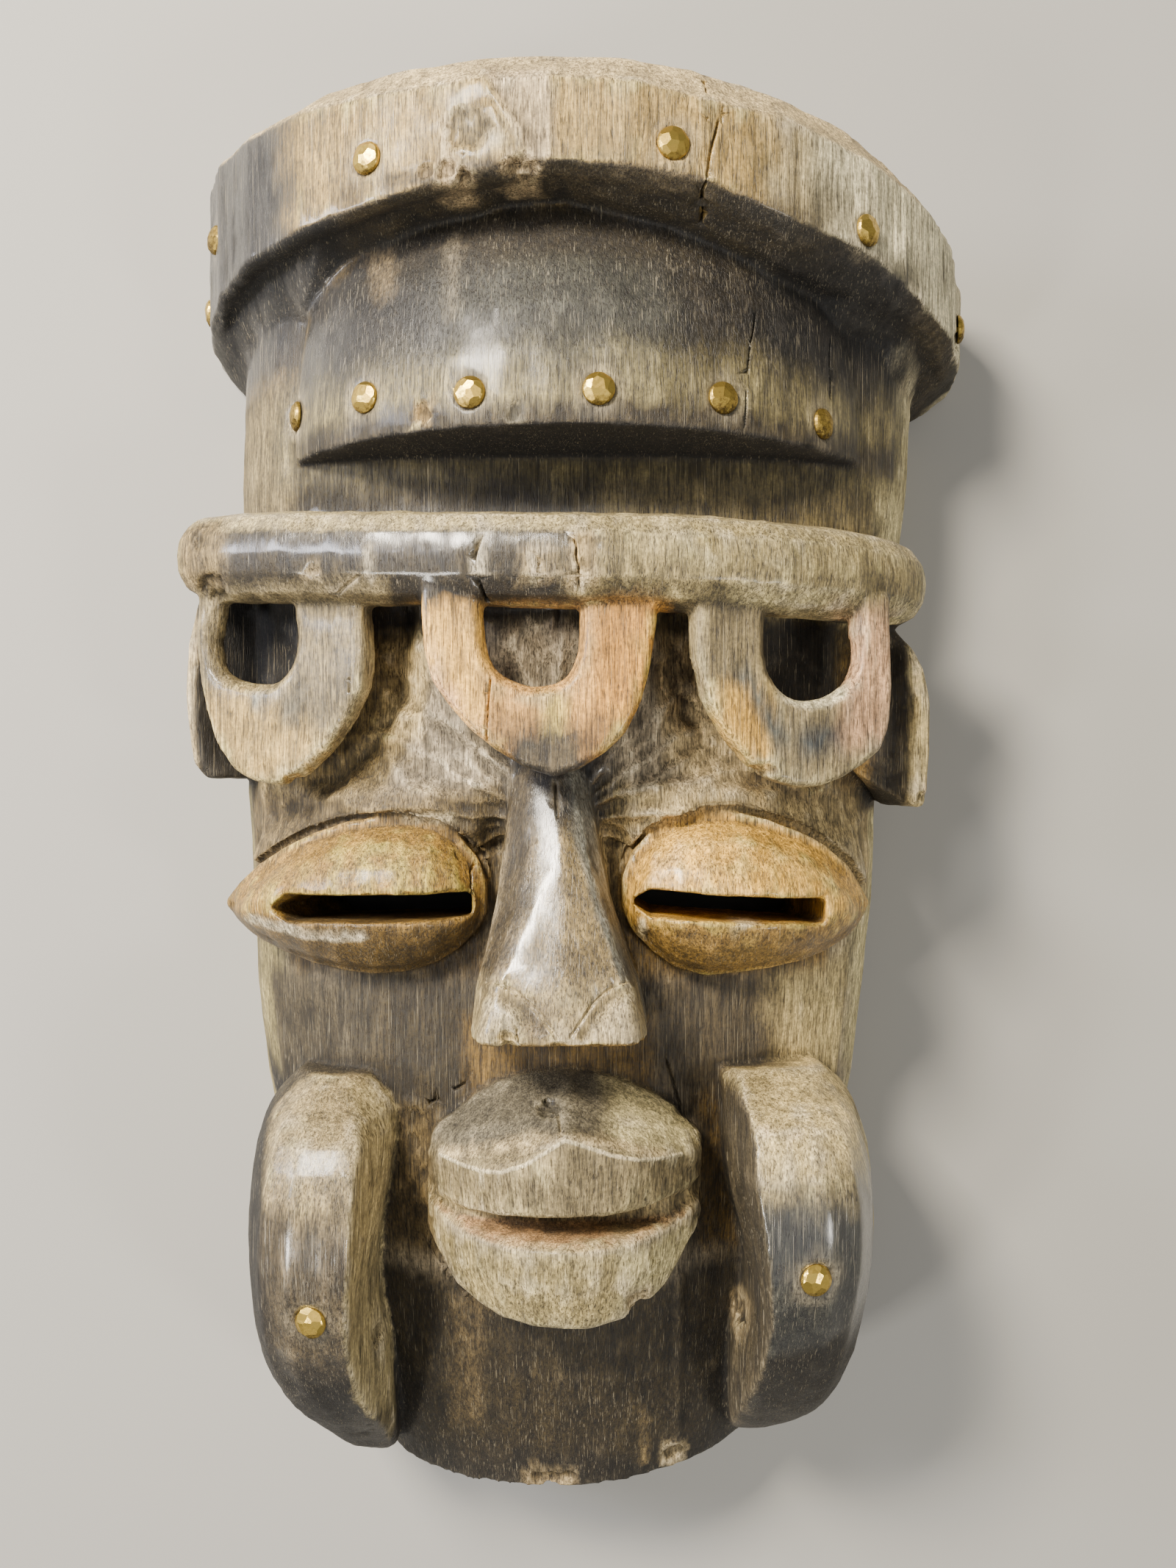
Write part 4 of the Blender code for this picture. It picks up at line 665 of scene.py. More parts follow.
def hewn_weight(points):
    """How far each point lies in the rough wood behind the loops and over the eyes."""
    x, y, z = points.T
    limit = np.minimum(102.0, np.minimum(89.5 + 0.417 * (x + 62.0), 102.0 - 0.331 * (x - 31.0)))
    weight = step_between(limit, limit - 2.0, z) * step_between(-16, -4, y)
    weight *= step_between(66, 61, y) * step_between(-112, -104, x) * step_between(104, 96, x)
    weight *= step_between(0.5, 2.5, outline_distance(x, y, NOSE))
    for rows in EYES:
        table = np.array(rows)
        weight *= np.where((x > table[0, 0]) & (x < table[-1, 0]),
                           step_between(0.0, 3.0, y - np.interp(x, table[:, 0], table[:, 1])), 1.0)
    return weight


def carve(points, normals, edges, settings):
    """Work out how far the knife, wear and weather move each point, in millimetres."""
    x, y, z = points.T
    facing = normals[:, 2]
    outside = step_between(-0.6, 0.0, facing)
    move = 0.4 * waver(points, 30.0, 3, 2)
    dish = scoops(points, (12.0, 19.0, 14.0), 11)
    move += settings.facet_depth * (dish * 1.6 - 0.5) * (0.35 + 0.65 * outside)
    move += 0.10 * waver(points, (2.4, 40.0, 2.4), 5, 2)
    move += 0.14 * waver(points, 5.0, 6, 2) * outside

    weathered = (step_between(60, 110, x) * step_between(146, 160, y)
                 + 0.6 * step_between(-90, -120, x) * step_between(150, 165, y)
                 + 0.5 * step_between(-146, -160, y)
                 + 0.5 * (np.abs(x) > 90) * step_between(90, 84, z) * (y > 86))
    move += settings.weathering * weathered * waver(points, (2.6, 60.0, 3.2), 8, 2)

    hewn = hewn_weight(points) * step_between(0.1, 0.5, facing)
    pick = np.flatnonzero(hewn > 0.01)
    swung = points[pick] - np.array((-9.0, -4.0, 0.0))
    turn = np.arctan2(swung[:, 1], np.abs(swung[:, 0]) + 1.0)
    reach = np.hypot(swung[:, 0], swung[:, 1])
    fan = np.stack((reach, turn * 42.0 * np.sign(swung[:, 0]), points[pick, 2]), axis=1)
    chopped = scoops(fan + 1.2 * waver(points[pick], 9.0, 31)[:, None], (19.0, 6.5, 60.0), 21)
    move[pick] += settings.adze_depth * hewn[pick] * (chopped * 2.2 - 1.0)
    move[pick] += 0.35 * hewn[pick] * waver(points[pick], (3.0, 3.0, 9.0), 23, 2)

    rough = (step_between(-63, -57, x) * step_between(-43, -48, x) * step_between(-87, -92, y)
             * step_between(-126, -120, y) * (z < 96)
             + step_between(23, 27, x) * step_between(39, 36, x) * step_between(-84, -88, y)
             * step_between(-130, -124, y) * (z < 98)) * (facing > -0.2)
    move += 1.0 * rough * waver(points, 4.5, 41, 2)

    move += eye_rim(points, normals)

    flat = averaged(points, edges, 4)
    proud = ((points - flat) * normals).sum(axis=1)
    edge = step_between(0.05, 0.3, proud)
    nibble = step_between(0.25, 0.7, waver(points, (4.0, 4.0, 4.0), 51, 2))
    move -= edge * (0.15 + 0.8 * nibble) * outside

    for width, depth, line in TOOL_MARKS.values():
        away = line_distance(points, np.array(line, float))
        if depth > 0:
            move -= depth * np.clip(1.0 - away / width, 0.0, 1.0) ** 1.2
        else:
            move -= depth * step_between(width, 0.0, away)
    for middle, (across, along), depth in CHIPS.values():
        off = points - np.array(middle)
        reach = np.sqrt((off[:, 0] / across) ** 2 + (off[:, 1] / along) ** 2
                        + (off[:, 2] / (1.6 * max(across, along))) ** 2)
        near = reach < 1.6
        ragged = reach[near] + 0.3 * waver(points[near], 1.8, 61, 2)
        move[near] -= depth * step_between(1.05, 0.55, ragged) * (
            1.0 + 0.3 * waver(points[near], (1.5, 8.0, 1.5), 63))
    return move


def crack_lines(item, shares):
    """Lay each crack on the surface as a wandering line."""
    surface = BVHTree.FromObject(item, bpy.context.evaluated_depsgraph_get())
    laid = []
    for at, (width, depth, colour, line) in enumerate(CRACKS.values()):
        line = np.array(line, float)
        runs = np.linalg.norm(np.diff(line, axis=0), axis=1)
        reach = np.concatenate(([0.0], np.cumsum(runs)))
        steps = np.linspace(0.0, reach[-1], max(4, int(reach[-1] / 1.2)))
        drawn = np.stack([np.interp(steps, reach, line[:, k]) for k in range(3)], axis=1)
        drawn[:, 0] += 0.25 * waver(drawn + at * 9.1, 4.0, 71, 2)
        spots = []
        for spot in drawn:
            found = surface.find_nearest(Vector(spot) * MM)[0]
            spots.append(np.array(found) / MM)
        laid.append((width * shares, depth, np.array(linear(colour)), np.array(spots)))
    return laid


def near_cracks(points, laid, reach):
    """How far each point is from any crack, within a reach."""
    best = np.full(len(points), 1e9)
    for _, _, _, line in laid:
        low = line.min(axis=0) - reach
        high = line.max(axis=0) + reach
        pick = np.flatnonzero(((points > low) & (points < high)).all(axis=1))
        best[pick] = np.minimum(best[pick], line_distance(points[pick], line))
    return best


def refine_near(item, laid, reach):
    """Halve the mesh's edges beside the cracks, so that a narrow crack has a shape."""
    points, _, _ = mesh_arrays(item.data)
    away = near_cracks(points, laid, reach)
    bm = bmesh.new()
    bm.from_mesh(item.data)
    bm.verts.ensure_lookup_table()
    edges = [edge for edge in bm.edges
             if away[edge.verts[0].index] + away[edge.verts[1].index] < 2.0 * reach]
    bmesh.ops.subdivide_edges(bm, edges=edges, cuts=1)
    bmesh.ops.triangulate(bm, faces=bm.faces)
    bm.to_mesh(item.data)
    bm.free()


def paint_wood(item, laid, settings):
    """Store the wood's colour and its gloss at each point."""
    points, normals, edges = mesh_arrays(item.data)
    count = len(points)
    wide = averaged(normals, edges, 3)
    wide /= np.maximum(np.linalg.norm(wide, axis=1), 1e-6)[:, None]
    wander = np.stack([waver(points, 9.0, 101, 2), waver(points, 9.0, 102, 2)], axis=1)

    tone = np.tile(np.array(settings.body_colour[:]), (count, 1))
    gloss = np.full(count, 0.35)
    behind = step_between(0.2, 0.6, -wide[:, 2])
    tone += (np.array(settings.back_colour[:]) - tone) * behind[:, None]
    gloss += (0.1 - gloss) * behind
    # Each zone lays its stain, or its painted shade or painted highlight, and its gloss.
    for stain_and_painted_light, shine, outline, depths, facing, soft in FINISHES_AND_PAINTED_LIGHT.values():
        weight = zone_weight(points, wide, wander, outline, depths, facing, soft)
        tone += (np.array(linear(STAINS_AND_PAINTED_LIGHT[stain_and_painted_light])) - tone) * weight[:, None]
        gloss += (shine - gloss) * weight

    # Handling and smoke leave soft blotches, and the fibres take the dirt in streaks.
    cloud = waver(points, 16.0, 111, 3)
    streak = waver(points, (1.9, 26.0, 1.9), 113, 2)
    tone *= (1.0 + 0.32 * cloud + 0.26 * streak)[:, None]

    bare = np.zeros(count)
    for colour, strength, outline, depths, soft in BARE.values():
        weight = strength * zone_weight(points, wide, wander * 0.6, outline, depths, None, soft)
        tone += (np.array(linear(colour)) * (1.0 + 0.12 * streak)[:, None] - tone) * weight[:, None]
        bare = np.maximum(bare, weight)

    proud = np.empty(count)
    item.data.attributes["proud"].data.foreach_get("value", proud)
    item.data.attributes.remove(item.data.attributes["proud"])
    worn = step_between(0.10, 0.32, proud) * (0.35 + 0.65 * step_between(
        -0.3, 0.4, waver(points, 7.0, 121, 2)))
    worn *= step_between(-0.5, 0.1, wide[:, 2])
    # Points that lie lower than their neighbours are made darker and less glossy.
    sunk = step_between(0.03, 0.22, -proud)
    rubbed = np.minimum(tone * 3.0 + 0.02, np.array(settings.worn_colour[:]))
    tone += (np.maximum(rubbed, tone) - tone) * (0.6 * worn)[:, None]
    tone *= (1.0 - settings.hollow_darkening * sunk)[:, None]
    gloss = np.clip(gloss - 0.3 * bare - 0.25 * sunk, 0.0, 1.0)

    for width, _, colour, line in laid:
        low = line.min(axis=0) - 2.0
        high = line.max(axis=0) + 2.0
        pick = np.flatnonzero(((points > low) & (points < high)).all(axis=1))
        share = 0.85 * step_between(width * 1.1, width * 0.4, line_distance(points[pick], line))
        tone[pick] += (colour - tone[pick]) * share[:, None]

    for name in TACKS:
        low, high = (np.array(corner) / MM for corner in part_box(name))
        middle = (low + high) / 2.0
        away = np.linalg.norm(points - middle, axis=1)
        ring = step_between(9.5, 6.5, away)
        tone += (np.array(linear("#b0a284")) - tone) * (0.25 * ring)[:, None]
        tone *= (1.0 - 0.5 * step_between(5.8, 4.9, away))[:, None]

    paint = item.data.attributes.new("paint", "FLOAT_COLOR", "POINT")
    paint.data.foreach_set("color", np.column_stack(
        (np.clip(tone, 0.002, 1.0), np.ones(count))).astype(np.float32).ravel())
    item.data.attributes.new("gloss", "FLOAT", "POINT").data.foreach_set(
        "value", gloss.astype(np.float32))


def noise(tree, vector, scale, detail, roughness, distortion=0.0):
    """Cloudy noise, as the output of a node."""
    return add_node(tree, "ShaderNodeTexNoise", {
        "Vector": vector, "Scale": scale, "Detail": detail, "Roughness": roughness,
        "Distortion": distortion}).outputs[0]


def ramp(tree, value, start, end):
    """Map one range of a value to another, as the output of a node."""
    return add_node(tree, "ShaderNodeMapRange", {
        "Value": value, "From Min": start[0], "From Max": start[1], "To Min": end[0],
        "To Max": end[1]}).outputs[0]


def maths(tree, operation, first, second, **settings):
    """Join two values by an operation, as the output of a node."""
    return add_node(tree, "ShaderNodeMath", {0: first, 1: second}, operation=operation,
                    **settings).outputs[0]


def old_carved_wood(settings):
    """Dense tropical hardwood cut with adze and knife, stained and polished by handling.

    The eye sees fibres along the log, dull dark hollows and a soft shine on the proud parts.
    """
    material = new_material("old_carved_wood")
    tree = material.node_tree
    place = add_node(tree, "ShaderNodeTexCoord").outputs["Object"]
    paint = add_node(tree, "ShaderNodeAttribute", attribute_name="paint").outputs["Color"]
    gloss = add_node(tree, "ShaderNodeAttribute", attribute_name="gloss").outputs["Fac"]

    # Fibres: bundles about 0.8 mm wide and 25 mm long, along the log.
    across = 1.0 / (settings.fibre_width * MM)
    along = 1.0 / (settings.fibre_length * MM)
    fibres = add_node(tree, "ShaderNodeMapping", {"Vector": place, "Scale": (across, along, across)})
    grain = noise(tree, fibres.outputs[0], 1.0, 5.0, 0.65, 0.3)
    # Pores: dashes about 0.35 mm wide and 4 mm long, twice as coarse as in the real wood so that
    # they show.
    pores = add_node(tree, "ShaderNodeMapping", {"Vector": place, "Scale": (2600.0, 240.0, 2600.0)})
    pore = noise(tree, pores.outputs[0], 1.0, 2.0, 0.5)
    pore_mask = ramp(tree, pore, (0.55, 0.65), (0.0, 1.0))
    # Stain left in ragged patches about 5 mm wide and 17 mm long, and specks of about 1 mm.
    patches = add_node(tree, "ShaderNodeMapping", {"Vector": place, "Scale": (190.0, 60.0, 190.0)})
    blotch = noise(tree, patches.outputs[0], 1.0, 9.0, 0.72, 0.5)
    speck = noise(tree, place, 850.0, 5.0, 0.75)
    # Scratches along the grain, about 0.4 mm wide and 16 mm long, in clusters of 20 mm.
    scratches = add_node(tree, "ShaderNodeMapping", {
        "Vector": place, "Rotation": (0.0, 0.0, 0.04), "Scale": (2500.0, 62.0, 900.0)})
    scratch = noise(tree, scratches.outputs[0], 1.0, 3.0, 0.6)
    scratch_mask = ramp(tree, scratch, (0.60, 0.67), (0.0, 1.0))
    cluster = noise(tree, place, 50.0, 4.0, 0.6, 0.3)
    cluster_mask = ramp(tree, cluster, (0.46, 0.62), (0.1, 1.0))
    # Hair scratches from handling, about 0.3 mm wide and 25 mm long, on two slants.
    hairs = []
    for slant in (0.55, 2.35):
        turned = add_node(tree, "ShaderNodeMapping", {
            "Vector": place, "Rotation": (0.0, 0.0, slant), "Scale": (3200.0, 40.0, 500.0)})
        hair = noise(tree, turned.outputs[0], 1.0, 1.0, 0.5)
        hairs.append(ramp(tree, hair, (0.69, 0.73), (0.0, 0.8)))

    shade = ramp(tree, grain, (0.36, 0.64), (0.42, 1.5))
    shade_2 = ramp(tree, blotch, (0.38, 0.62), (0.6, 1.32))
    shade_3 = ramp(tree, speck, (0.34, 0.66), (0.62, 1.34))
    both = maths(tree, "MULTIPLY", shade, shade_2)
    all_three = maths(tree, "MULTIPLY", both, shade_3)
    toned = add_node(tree, "ShaderNodeVectorMath", {0: paint, "Scale": all_three},
                     operation="SCALE")
    clustered = maths(tree, "MULTIPLY", scratch_mask, cluster_mask)
    haired = maths(tree, "MAXIMUM", hairs[0], hairs[1])
    rubbed = maths(tree, "MAXIMUM", clustered, haired)
    rub_share = maths(tree, "MULTIPLY", rubbed, 0.27)
    lighter = add_node(tree, "ShaderNodeMix", {
        0: rub_share, 6: toned.outputs[0], 7: (*settings.worn_colour, 1.0)}, data_type="RGBA")
    pore_share = maths(tree, "MULTIPLY", pore_mask, 0.68)
    colour = add_node(tree, "ShaderNodeMix", {
        0: pore_share, 6: lighter.outputs[2], 7: (*linear("#1f180f"), 1.0)}, data_type="RGBA")

    shine = ramp(tree, gloss, (0.0, 1.0), (0.80, 0.34))
    uneven = ramp(tree, speck, (0.3, 0.7), (-0.10, 0.16))
    scuffed = maths(tree, "MULTIPLY", rubbed, 0.22)
    uneven_2 = maths(tree, "ADD", uneven, scuffed)
    rough = maths(tree, "ADD", shine, uneven_2, use_clamp=True)

    # Raised fibres, scratches and open pores stand about 0.1 mm.
    height = maths(tree, "ADD", grain, speck)
    height_2 = maths(tree, "SUBTRACT", height, pore_mask)
    height_3 = maths(tree, "SUBTRACT", height_2, scuffed)
    bump = add_node(tree, "ShaderNodeBump", {
        "Strength": 0.6, "Distance": 0.00025, "Height": height_3})
    # Years of hands leave a thin polish over the proud parts, broken only by the scratches.
    coat = ramp(tree, gloss, (0.45, 0.9), (0.0, 1.0))
    coat_rough = maths(tree, "ADD", scuffed, settings.coat_roughness)
    ripple = maths(tree, "SUBTRACT", blotch, scuffed)
    coat_bump = add_node(tree, "ShaderNodeBump", {
        "Strength": 0.35, "Distance": 0.00025, "Height": ripple})
    surface = add_node(tree, "ShaderNodeBsdfPrincipled", {
        "Base Color": colour.outputs[2], "Roughness": rough, "IOR": 1.5,
        "Specular IOR Level": 0.5, "Normal": bump.outputs[0], "Coat Weight": coat,
        "Coat Roughness": coat_rough, "Coat IOR": 1.6,
        "Coat Normal": coat_bump.outputs[0]})
    add_node(tree, "ShaderNodeOutputMaterial", {"Surface": surface.outputs[0]})
    return material


def hammered_brass(settings):
    """Thin sheet brass pressed into heads, dented by the hammer and browned in the dents.

    The eye sees small flat facets with sharp glints, golden on top and brown at the lower side.
    """
    material = new_material("hammered_brass")
    tree = material.node_tree
    place = add_node(tree, "ShaderNodeTexCoord").outputs["Object"]
    tarnish_and_lower_side = add_node(tree, "ShaderNodeAttribute", attribute_name="tarnish_and_lower_side").outputs["Fac"]
    # Spots of tarnish, about 1 mm across.
    spots = noise(tree, place, 900.0, 4.0, 0.65)
    spotted = ramp(tree, spots, (0.35, 0.7), (-0.35, 0.35))
    # The tarnish value also darkens each head towards its lower side.
    tarnish = maths(tree, "ADD", tarnish_and_lower_side, spotted, use_clamp=True)
    colour = add_node(tree, "ShaderNodeMix", {
        0: tarnish, 6: (*settings.brass_colour, 1.0),
        7: (*settings.tarnish_colour, 1.0)}, data_type="RGBA")
    rough = ramp(tree, tarnish, (0.0, 1.0), (0.3, 0.62))
    bump = add_node(tree, "ShaderNodeBump", {
        "Strength": 0.3, "Distance": 0.0001, "Height": spots})
    surface = add_node(tree, "ShaderNodeBsdfPrincipled", {
        "Base Color": colour.outputs[2], "Metallic": 1.0, "Roughness": rough,
        "Normal": bump.outputs[0]})
    add_node(tree, "ShaderNodeOutputMaterial", {"Surface": surface.outputs[0]})
    return material


def plain_floor(settings):
    """Pale matt painted board."""
    material = new_material("pale_floor")
    tree = material.node_tree
    surface = add_node(tree, "ShaderNodeBsdfPrincipled", {
        "Base Color": (*settings.floor_colour, 1.0), "Roughness": 0.9})
    add_node(tree, "ShaderNodeOutputMaterial", {"Surface": surface.outputs[0]})
    return material


def colour_property(name, description, value):
    """A colour that a user can change."""
    return FloatVectorProperty(name=name, description=description, subtype="COLOR", size=3,
                               min=0.0, max=1.0, default=linear(value))


class MaskWoodSettings(bpy.types.PropertyGroup):
    """Sizes and colours of the wood."""
    mesh_size: FloatProperty(name="Mesh size", description="Size of the first even mesh, in mm",
                             default=0.95, min=0.5, max=3.0)
    facet_depth: FloatProperty(name="Knife facets", description="Depth of the knife cuts, in mm",
                               default=0.35, min=0.0, max=2.0)
    adze_depth: FloatProperty(name="Adze cuts", description="Depth of the rough cuts, in mm",
                              default=1.7, min=0.0, max=3.0)
    weathering: FloatProperty(name="Weathering", description="Height of open grain, in mm",
                              default=0.45, min=0.0, max=2.0)
    crack_width: FloatProperty(name="Crack width", description="Share of the measured width",
                               default=1.0, min=0.2, max=3.0, subtype="FACTOR")
    hollow_darkening: FloatProperty(name="Hollows", description="How dark the hollows are", default=0.5,
                        min=0.0, max=1.0, subtype="FACTOR")
    coat_roughness: FloatProperty(name="Polish roughness", description="Roughness of the hand "
                                  "polish", default=0.16, min=0.02, max=1.0)
    fibre_width: FloatProperty(name="Fibre width", description="Width of a fibre bundle, in mm",
                               default=0.8, min=0.1, max=5.0)
    fibre_length: FloatProperty(name="Fibre length", description="Length of a fibre bundle, in mm",
                                default=25.0, min=1.0, max=200.0)
    body_colour: colour_property("Wood", "General colour of the wood", "#94866c")
    back_colour: colour_property("Back", "Colour of the back and the hollow", "#7a684c")
    worn_colour: colour_property("Worn edge", "Colour where handling has rubbed it", "#cbbd9d")


class MaskTackSettings(bpy.types.PropertyGroup):
    """Sizes and colours of the tacks."""
    head_radius: FloatProperty(name="Head radius", description="Radius of a tack head, in mm",
                               default=4.7, min=2.0, max=6.0)
    dent: FloatProperty(name="Hammering", description="How flat the hammered facets are",
                        default=0.11, min=0.0, max=0.3, subtype="FACTOR")
    brass_colour: colour_property("Brass", "Colour of clean brass", "#dcbb5c")
    tarnish_colour: colour_property("Tarnish", "Colour of tarnished brass", "#5c4c2a")


class MaskStageSettings(bpy.types.PropertyGroup):
    """The floor, the lights and the camera."""
    key_power: FloatProperty(name="Key light", description="Power of the main light",
                             default=42.0, min=0.0, subtype="POWER", unit="POWER")
    glint_power: FloatProperty(name="Glint lights", description="Power of the four small lights "
                               "that polished places reflect", default=14.0, min=0.0,
                               subtype="POWER", unit="POWER")
    fill_power: FloatProperty(name="Fill light", description="Power of the soft front light",
                              default=1.8, min=0.0, subtype="POWER", unit="POWER")
    world_strength: FloatProperty(name="Room light", description="Strength of the even light",
                                  default=0.30, min=0.0)
    camera_height: FloatProperty(name="Camera height", description="Height of the camera",
                                 default=0.490, min=0.2, unit="LENGTH")
    floor_colour: colour_property("Floor", "Colour of the floor", "#a3a19b")


class MASK_OT_wood(bpy.types.Operator):
    """Carve the one piece of wood from its solid and paint its wear, its stains and its painted shade
    and highlights
    """
    bl_idname = "mask.carve_wood"
    bl_label = "Carve the wood"

    def execute(self, context):
        settings = context.scene.mask_wood
        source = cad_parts["mask_body"]
        item = new_piece("mask_wood", source.data.copy())
        item.data.materials.clear()
        bm = bmesh.new()
        bm.from_mesh(item.data)
        bmesh.ops.remove_doubles(bm, verts=bm.verts, dist=1e-6)
        bm.to_mesh(item.data)
        bm.free()
        even = item.modifiers.new("even_mesh", "REMESH")
        even.mode = "VOXEL"
        even.voxel_size = settings.mesh_size * MM
        settle_modifiers(item)

        points, normals, edges = mesh_arrays(item.data)
        points = averaged(points, edges, 2)
        settle_points(item.data, points)
        points, normals, edges = mesh_arrays(item.data)
        normals = averaged(normals, edges, 2)
        normals /= np.maximum(np.linalg.norm(normals, axis=1), 1e-6)[:, None]
        points = points + normals * carve(points, normals, edges, settings)[:, None]
        points[:, 2] = np.maximum(points[:, 2], 0.0)
        settle_points(item.data, points)

        item.data.calc_loop_triangles()
        thin = item.modifiers.new("thin_out", "DECIMATE")
        thin.ratio = min(1.0, WOOD_TRIANGLES / len(item.data.loop_triangles))
        thin.use_collapse_triangulate = True
        settle_modifiers(item)

        points, normals, edges = mesh_arrays(item.data)
        proud = ((points - averaged(points, edges, 4)) * normals).sum(axis=1)
        item.data.attributes.new("proud", "FLOAT", "POINT").data.foreach_set(
            "value", proud.astype(np.float32))
        laid = crack_lines(item, settings.crack_width)
        for reach in CRACK_REACHES:
            refine_near(item, laid, reach)
        points, normals, _ = mesh_arrays(item.data)
        for width, depth, _, line in laid:
            low = line.min(axis=0) - 2.0
            high = line.max(axis=0) + 2.0
            pick = np.flatnonzero(((points > low) & (points < high)).all(axis=1))
            share = np.clip(1.0 - line_distance(points[pick], line) / width, 0.0, 1.0)
            points[pick] -= normals[pick] * (depth * share ** 0.8)[:, None]
        settle_points(item.data, points)
        item.data.shade_smooth()
        item.data.calc_loop_triangles()
        if not FEWEST_TRIANGLES < len(item.data.loop_triangles) < MOST_TRIANGLES:
            raise RuntimeError("the wood has %d triangles" % len(item.data.loop_triangles))
        paint_wood(item, laid, settings)
        item.data.materials.append(old_carved_wood(settings))
        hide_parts("mask_body")
        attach(item, "root")
        return {"FINISHED"}


class MASK_OT_tacks(bpy.types.Operator):
    """Set the fourteen brass tacks in their holes"""
    bl_idname = "mask.set_tacks"
    bl_label = "Set the tacks"

    def execute(self, context):
        settings = context.scene.mask_tacks
        brass = hammered_brass(settings)
        radius = settings.head_radius
        for at, (name, (facing, tarnish)) in enumerate(TACKS.items()):
            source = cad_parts[name]
            way = Vector(facing).normalized()
            spots = [vertex.co.copy() for vertex in source.data.vertices]
            apex = max(spots, key=lambda spot: spot.dot(way))
            tip = min(spots, key=lambda spot: spot.dot(way))
            luck = np.random.default_rng(500 + at)
            bm = bmesh.new()
            bmesh.ops.create_uvsphere(bm, u_segments=28, v_segments=16, radius=radius)
            bmesh.ops.bisect_plane(bm, geom=bm.verts[:] + bm.edges[:] + bm.faces[:],
                                   plane_co=(0, 0, 0.02), plane_no=(0, 0, -1), clear_outer=True)
            dome = (TACK_HEAD_HEIGHT - TACK_RIM) / radius
            bmesh.ops.scale(bm, vec=(1.0, 1.0, dome), verts=bm.verts)
            bmesh.ops.translate(bm, vec=(0.0, 0.0, TACK_RIM), verts=bm.verts)
            for dent in range(DENTS):
                turn = 2.0 * math.pi * (dent * 0.382 + 0.1 * luck.random())
                lean = (0.15 + 0.85 * (dent + 0.5) / DENTS) * 1.12
                out = Vector((math.sin(lean) * math.cos(turn), math.sin(lean) * math.sin(turn),
                              math.cos(lean) * 1.55)).normalized()
                reach = max(vertex.co.dot(out) for vertex in bm.verts)
                cut = bmesh.ops.bisect_plane(
                    bm, geom=bm.verts[:] + bm.edges[:] + bm.faces[:],
                    plane_co=out * (reach - settings.dent * (0.5 + 0.9 * luck.random())
                                    * TACK_HEAD_HEIGHT),
                    plane_no=out, clear_outer=True)
                edges = [part for part in cut["geom_cut"] if isinstance(part, bmesh.types.BMEdge)
                         and part.is_boundary]
                if len(edges) > 2:
                    bmesh.ops.contextual_create(bm, geom=edges)
            sharp = [edge for edge in bm.edges if edge.is_manifold
                     and edge.calc_face_angle(0.0) > math.radians(9)]
            bmesh.ops.bevel(bm, geom=sharp, offset=0.12, offset_type="OFFSET", segments=2,
                            profile=0.5, affect="EDGES", material=-1, clamp_overlap=True)
            rim = [edge for edge in bm.edges if edge.is_boundary]
            skirt = bmesh.ops.extrude_edge_only(bm, edges=rim)["geom"]
            low = [part for part in skirt if isinstance(part, bmesh.types.BMVert)]
            for vertex in low:
                vertex.co.z = 0.0
            under = bmesh.ops.contextual_create(
                bm, geom=[edge for edge in bm.edges if edge.is_boundary])["faces"]
            bmesh.ops.inset_region(bm, faces=under, thickness=radius - 0.9)
            length = (apex - tip).dot(way) / MM - TACK_HEAD_HEIGHT
            pin = bmesh.ops.extrude_face_region(bm, geom=under)["geom"]
            end = [part for part in pin if isinstance(part, bmesh.types.BMVert)]
            bmesh.ops.translate(bm, vec=(0.0, 0.0, TACK_RIM - length), verts=end)
            bmesh.ops.scale(bm, vec=(0.35, 0.35, 1.0), verts=end)
            bmesh.ops.delete(bm, geom=under, context="FACES_ONLY")
            bmesh.ops.remove_doubles(bm, verts=bm.verts, dist=0.01)
            bmesh.ops.recalc_face_normals(bm, faces=bm.faces)
            bmesh.ops.triangulate(bm, faces=[face for face in bm.faces if len(face.verts) > 4])
            bmesh.ops.scale(bm, vec=(MM, MM, MM), verts=bm.verts)
            seat = apex - way * TACK_HEAD_HEIGHT * MM
            bmesh.ops.transform(bm, verts=bm.verts, matrix=Matrix.Translation(seat) @ way
                                .to_track_quat("Z", "Y").to_matrix().to_4x4())
            mesh = bpy.data.meshes.new(name)
            bm.to_mesh(mesh)
            bm.free()
            item = new_piece(name + "_brass", mesh)
            points = mesh_arrays(mesh)[0]
            centre = np.array(seat) / MM
            # Each head is also made darker towards its lower side.
            below = -(points - centre)[:, 1] / radius
            tarnish_and_lower_side = tarnish + 0.75 * step_between(0.1, 1.0, below) - 0.1
            mesh.attributes.new("tarnish_and_lower_side", "FLOAT", "POINT").data.foreach_set(
                "value", np.clip(tarnish_and_lower_side, 0.0, 1.0).astype(np.float32))
            mesh.materials.append(brass)
            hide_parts(name)
            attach(item, "root")
        return {"FINISHED"}


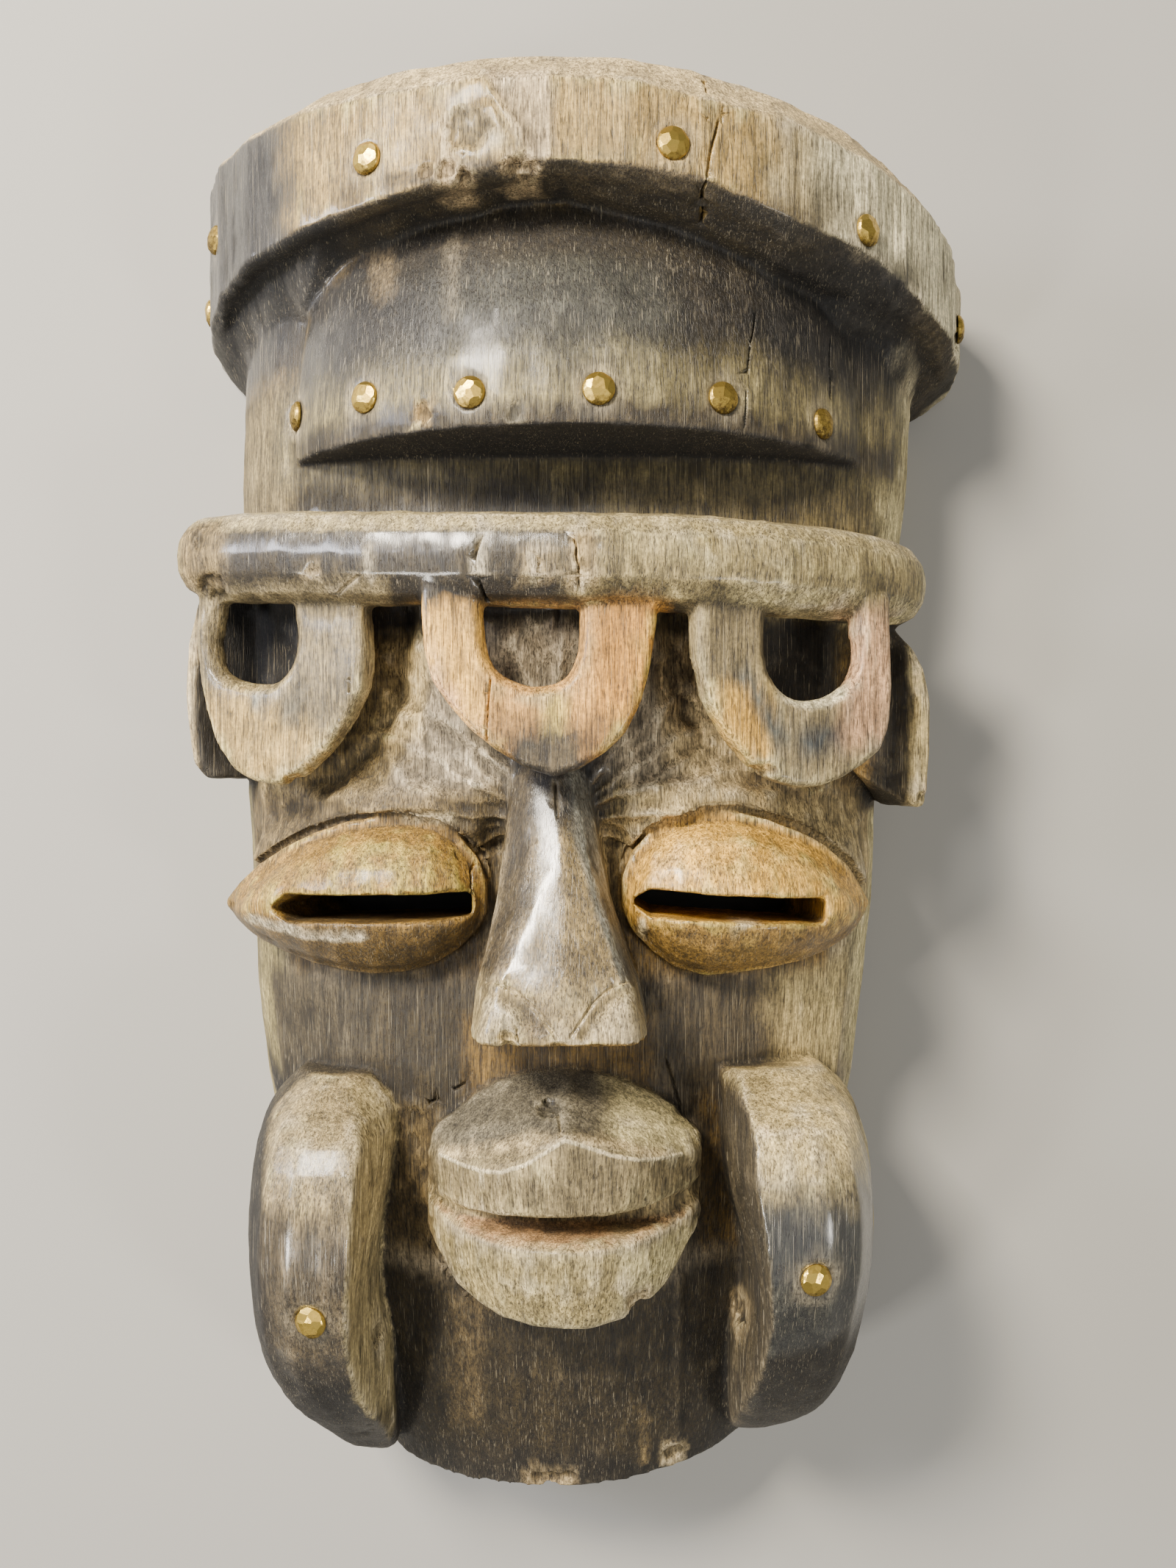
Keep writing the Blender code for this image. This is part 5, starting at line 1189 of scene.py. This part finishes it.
class MASK_OT_stage(bpy.types.Operator):
    """Lay the floor, hang the lights and place the camera"""
    bl_idname = "mask.light_stage"
    bl_label = "Light the stage"

    def execute(self, context):
        settings = context.scene.mask_stage
        bm = bmesh.new()
        bmesh.ops.create_grid(bm, x_segments=4, y_segments=4, size=FLOOR_HALF_WIDTH)
        bmesh.ops.translate(bm, vec=(0.0, 0.0, -FLOOR_GAP), verts=bm.verts)
        mesh = bpy.data.meshes.new("floor")
        bm.to_mesh(mesh)
        bm.free()
        mesh.materials.append(plain_floor(settings))
        new_piece("floor", mesh)

        for name, spot, size, share, power, colour in (
                ("key", (-0.58, 0.68, 0.98), (0.30, 0.30), 1.0, settings.key_power, "#fff4e2"),
                ("fill", (0.25, -0.35, 1.3), (1.2, 1.2), 1.0, settings.fill_power, "#eef2ff"),
                ("front", (0.0, 0.30, 1.35), (0.24, 0.24), 0.03, settings.glint_power, "#fffaf0"),
                ("left", (-0.95, 0.30, 0.60), (0.2, 0.5), 0.8, settings.glint_power, "#f6f6ff"),
                ("low_left", (-0.82, -0.51, 0.95), (0.2, 0.2), 0.6, settings.glint_power,
                 "#fffaf0"),
                ("low_right", (0.80, -0.42, 1.0), (0.2, 0.2), 0.4, settings.glint_power,
                 "#fffaf0")):
            lamp = bpy.data.lights.new(name, "AREA")
            lamp.shape = "RECTANGLE"
            lamp.size, lamp.size_y = size
            lamp.energy = power * share
            lamp.color = linear(colour)
            light = new_piece(name, lamp)
            light.location = spot
            light.rotation_euler = (Vector(LIGHTS_AIM) - Vector(spot)).to_track_quat(
                "-Z", "Y").to_euler()

        world = bpy.data.worlds.new("room")
        world.use_nodes = True
        back = world.node_tree.nodes["Background"]
        back.inputs[0].default_value = (*linear("#f1f2f4"), 1.0)
        back.inputs[1].default_value = settings.world_strength
        context.scene.world = world

        view = bpy.data.cameras.new("camera")
        view.sensor_fit = "AUTO"
        view.sensor_width = SENSOR_WIDTH
        view.lens = SENSOR_WIDTH * FOCAL_PIXELS / PHOTO_HEIGHT
        view.clip_start = 0.01
        camera = new_piece("camera", view)
        camera.location = (0.001, 0.009, settings.camera_height)
        context.scene.camera = camera
        return {"FINISHED"}


class MASK_PT_panel(bpy.types.Panel):
    """Buttons for each step"""
    bl_label = "Carved mask"
    bl_idname = "MASK_PT_panel"
    bl_space_type = "VIEW_3D"
    bl_region_type = "UI"
    bl_category = "Carved mask"

    def draw(self, context):
        layout = self.layout
        for group, operator in (("mask_wood", MASK_OT_wood), ("mask_tacks", MASK_OT_tacks),
                                ("mask_stage", MASK_OT_stage)):
            settings = getattr(context.scene, group)
            box = layout.box()
            for name in settings.__annotations__:
                box.prop(settings, name)
            box.operator(operator.bl_idname)


CLASSES = (MaskWoodSettings, MaskTackSettings, MaskStageSettings, MASK_OT_wood, MASK_OT_tacks,
           MASK_OT_stage, MASK_PT_panel)
GROUPS = {"mask_wood": MaskWoodSettings, "mask_tacks": MaskTackSettings,
          "mask_stage": MaskStageSettings}


def register():
    for kind in CLASSES:
        bpy.utils.register_class(kind)
    for name, kind in GROUPS.items():
        setattr(bpy.types.Scene, name, PointerProperty(type=kind))


def unregister():
    for name in GROUPS:
        delattr(bpy.types.Scene, name)
    for kind in reversed(CLASSES):
        bpy.utils.unregister_class(kind)


def main():
    register()
    bpy.ops.mask.carve_wood()
    bpy.ops.mask.set_tacks()
    bpy.ops.mask.light_stage()


if __name__ == "__main__":
    main()
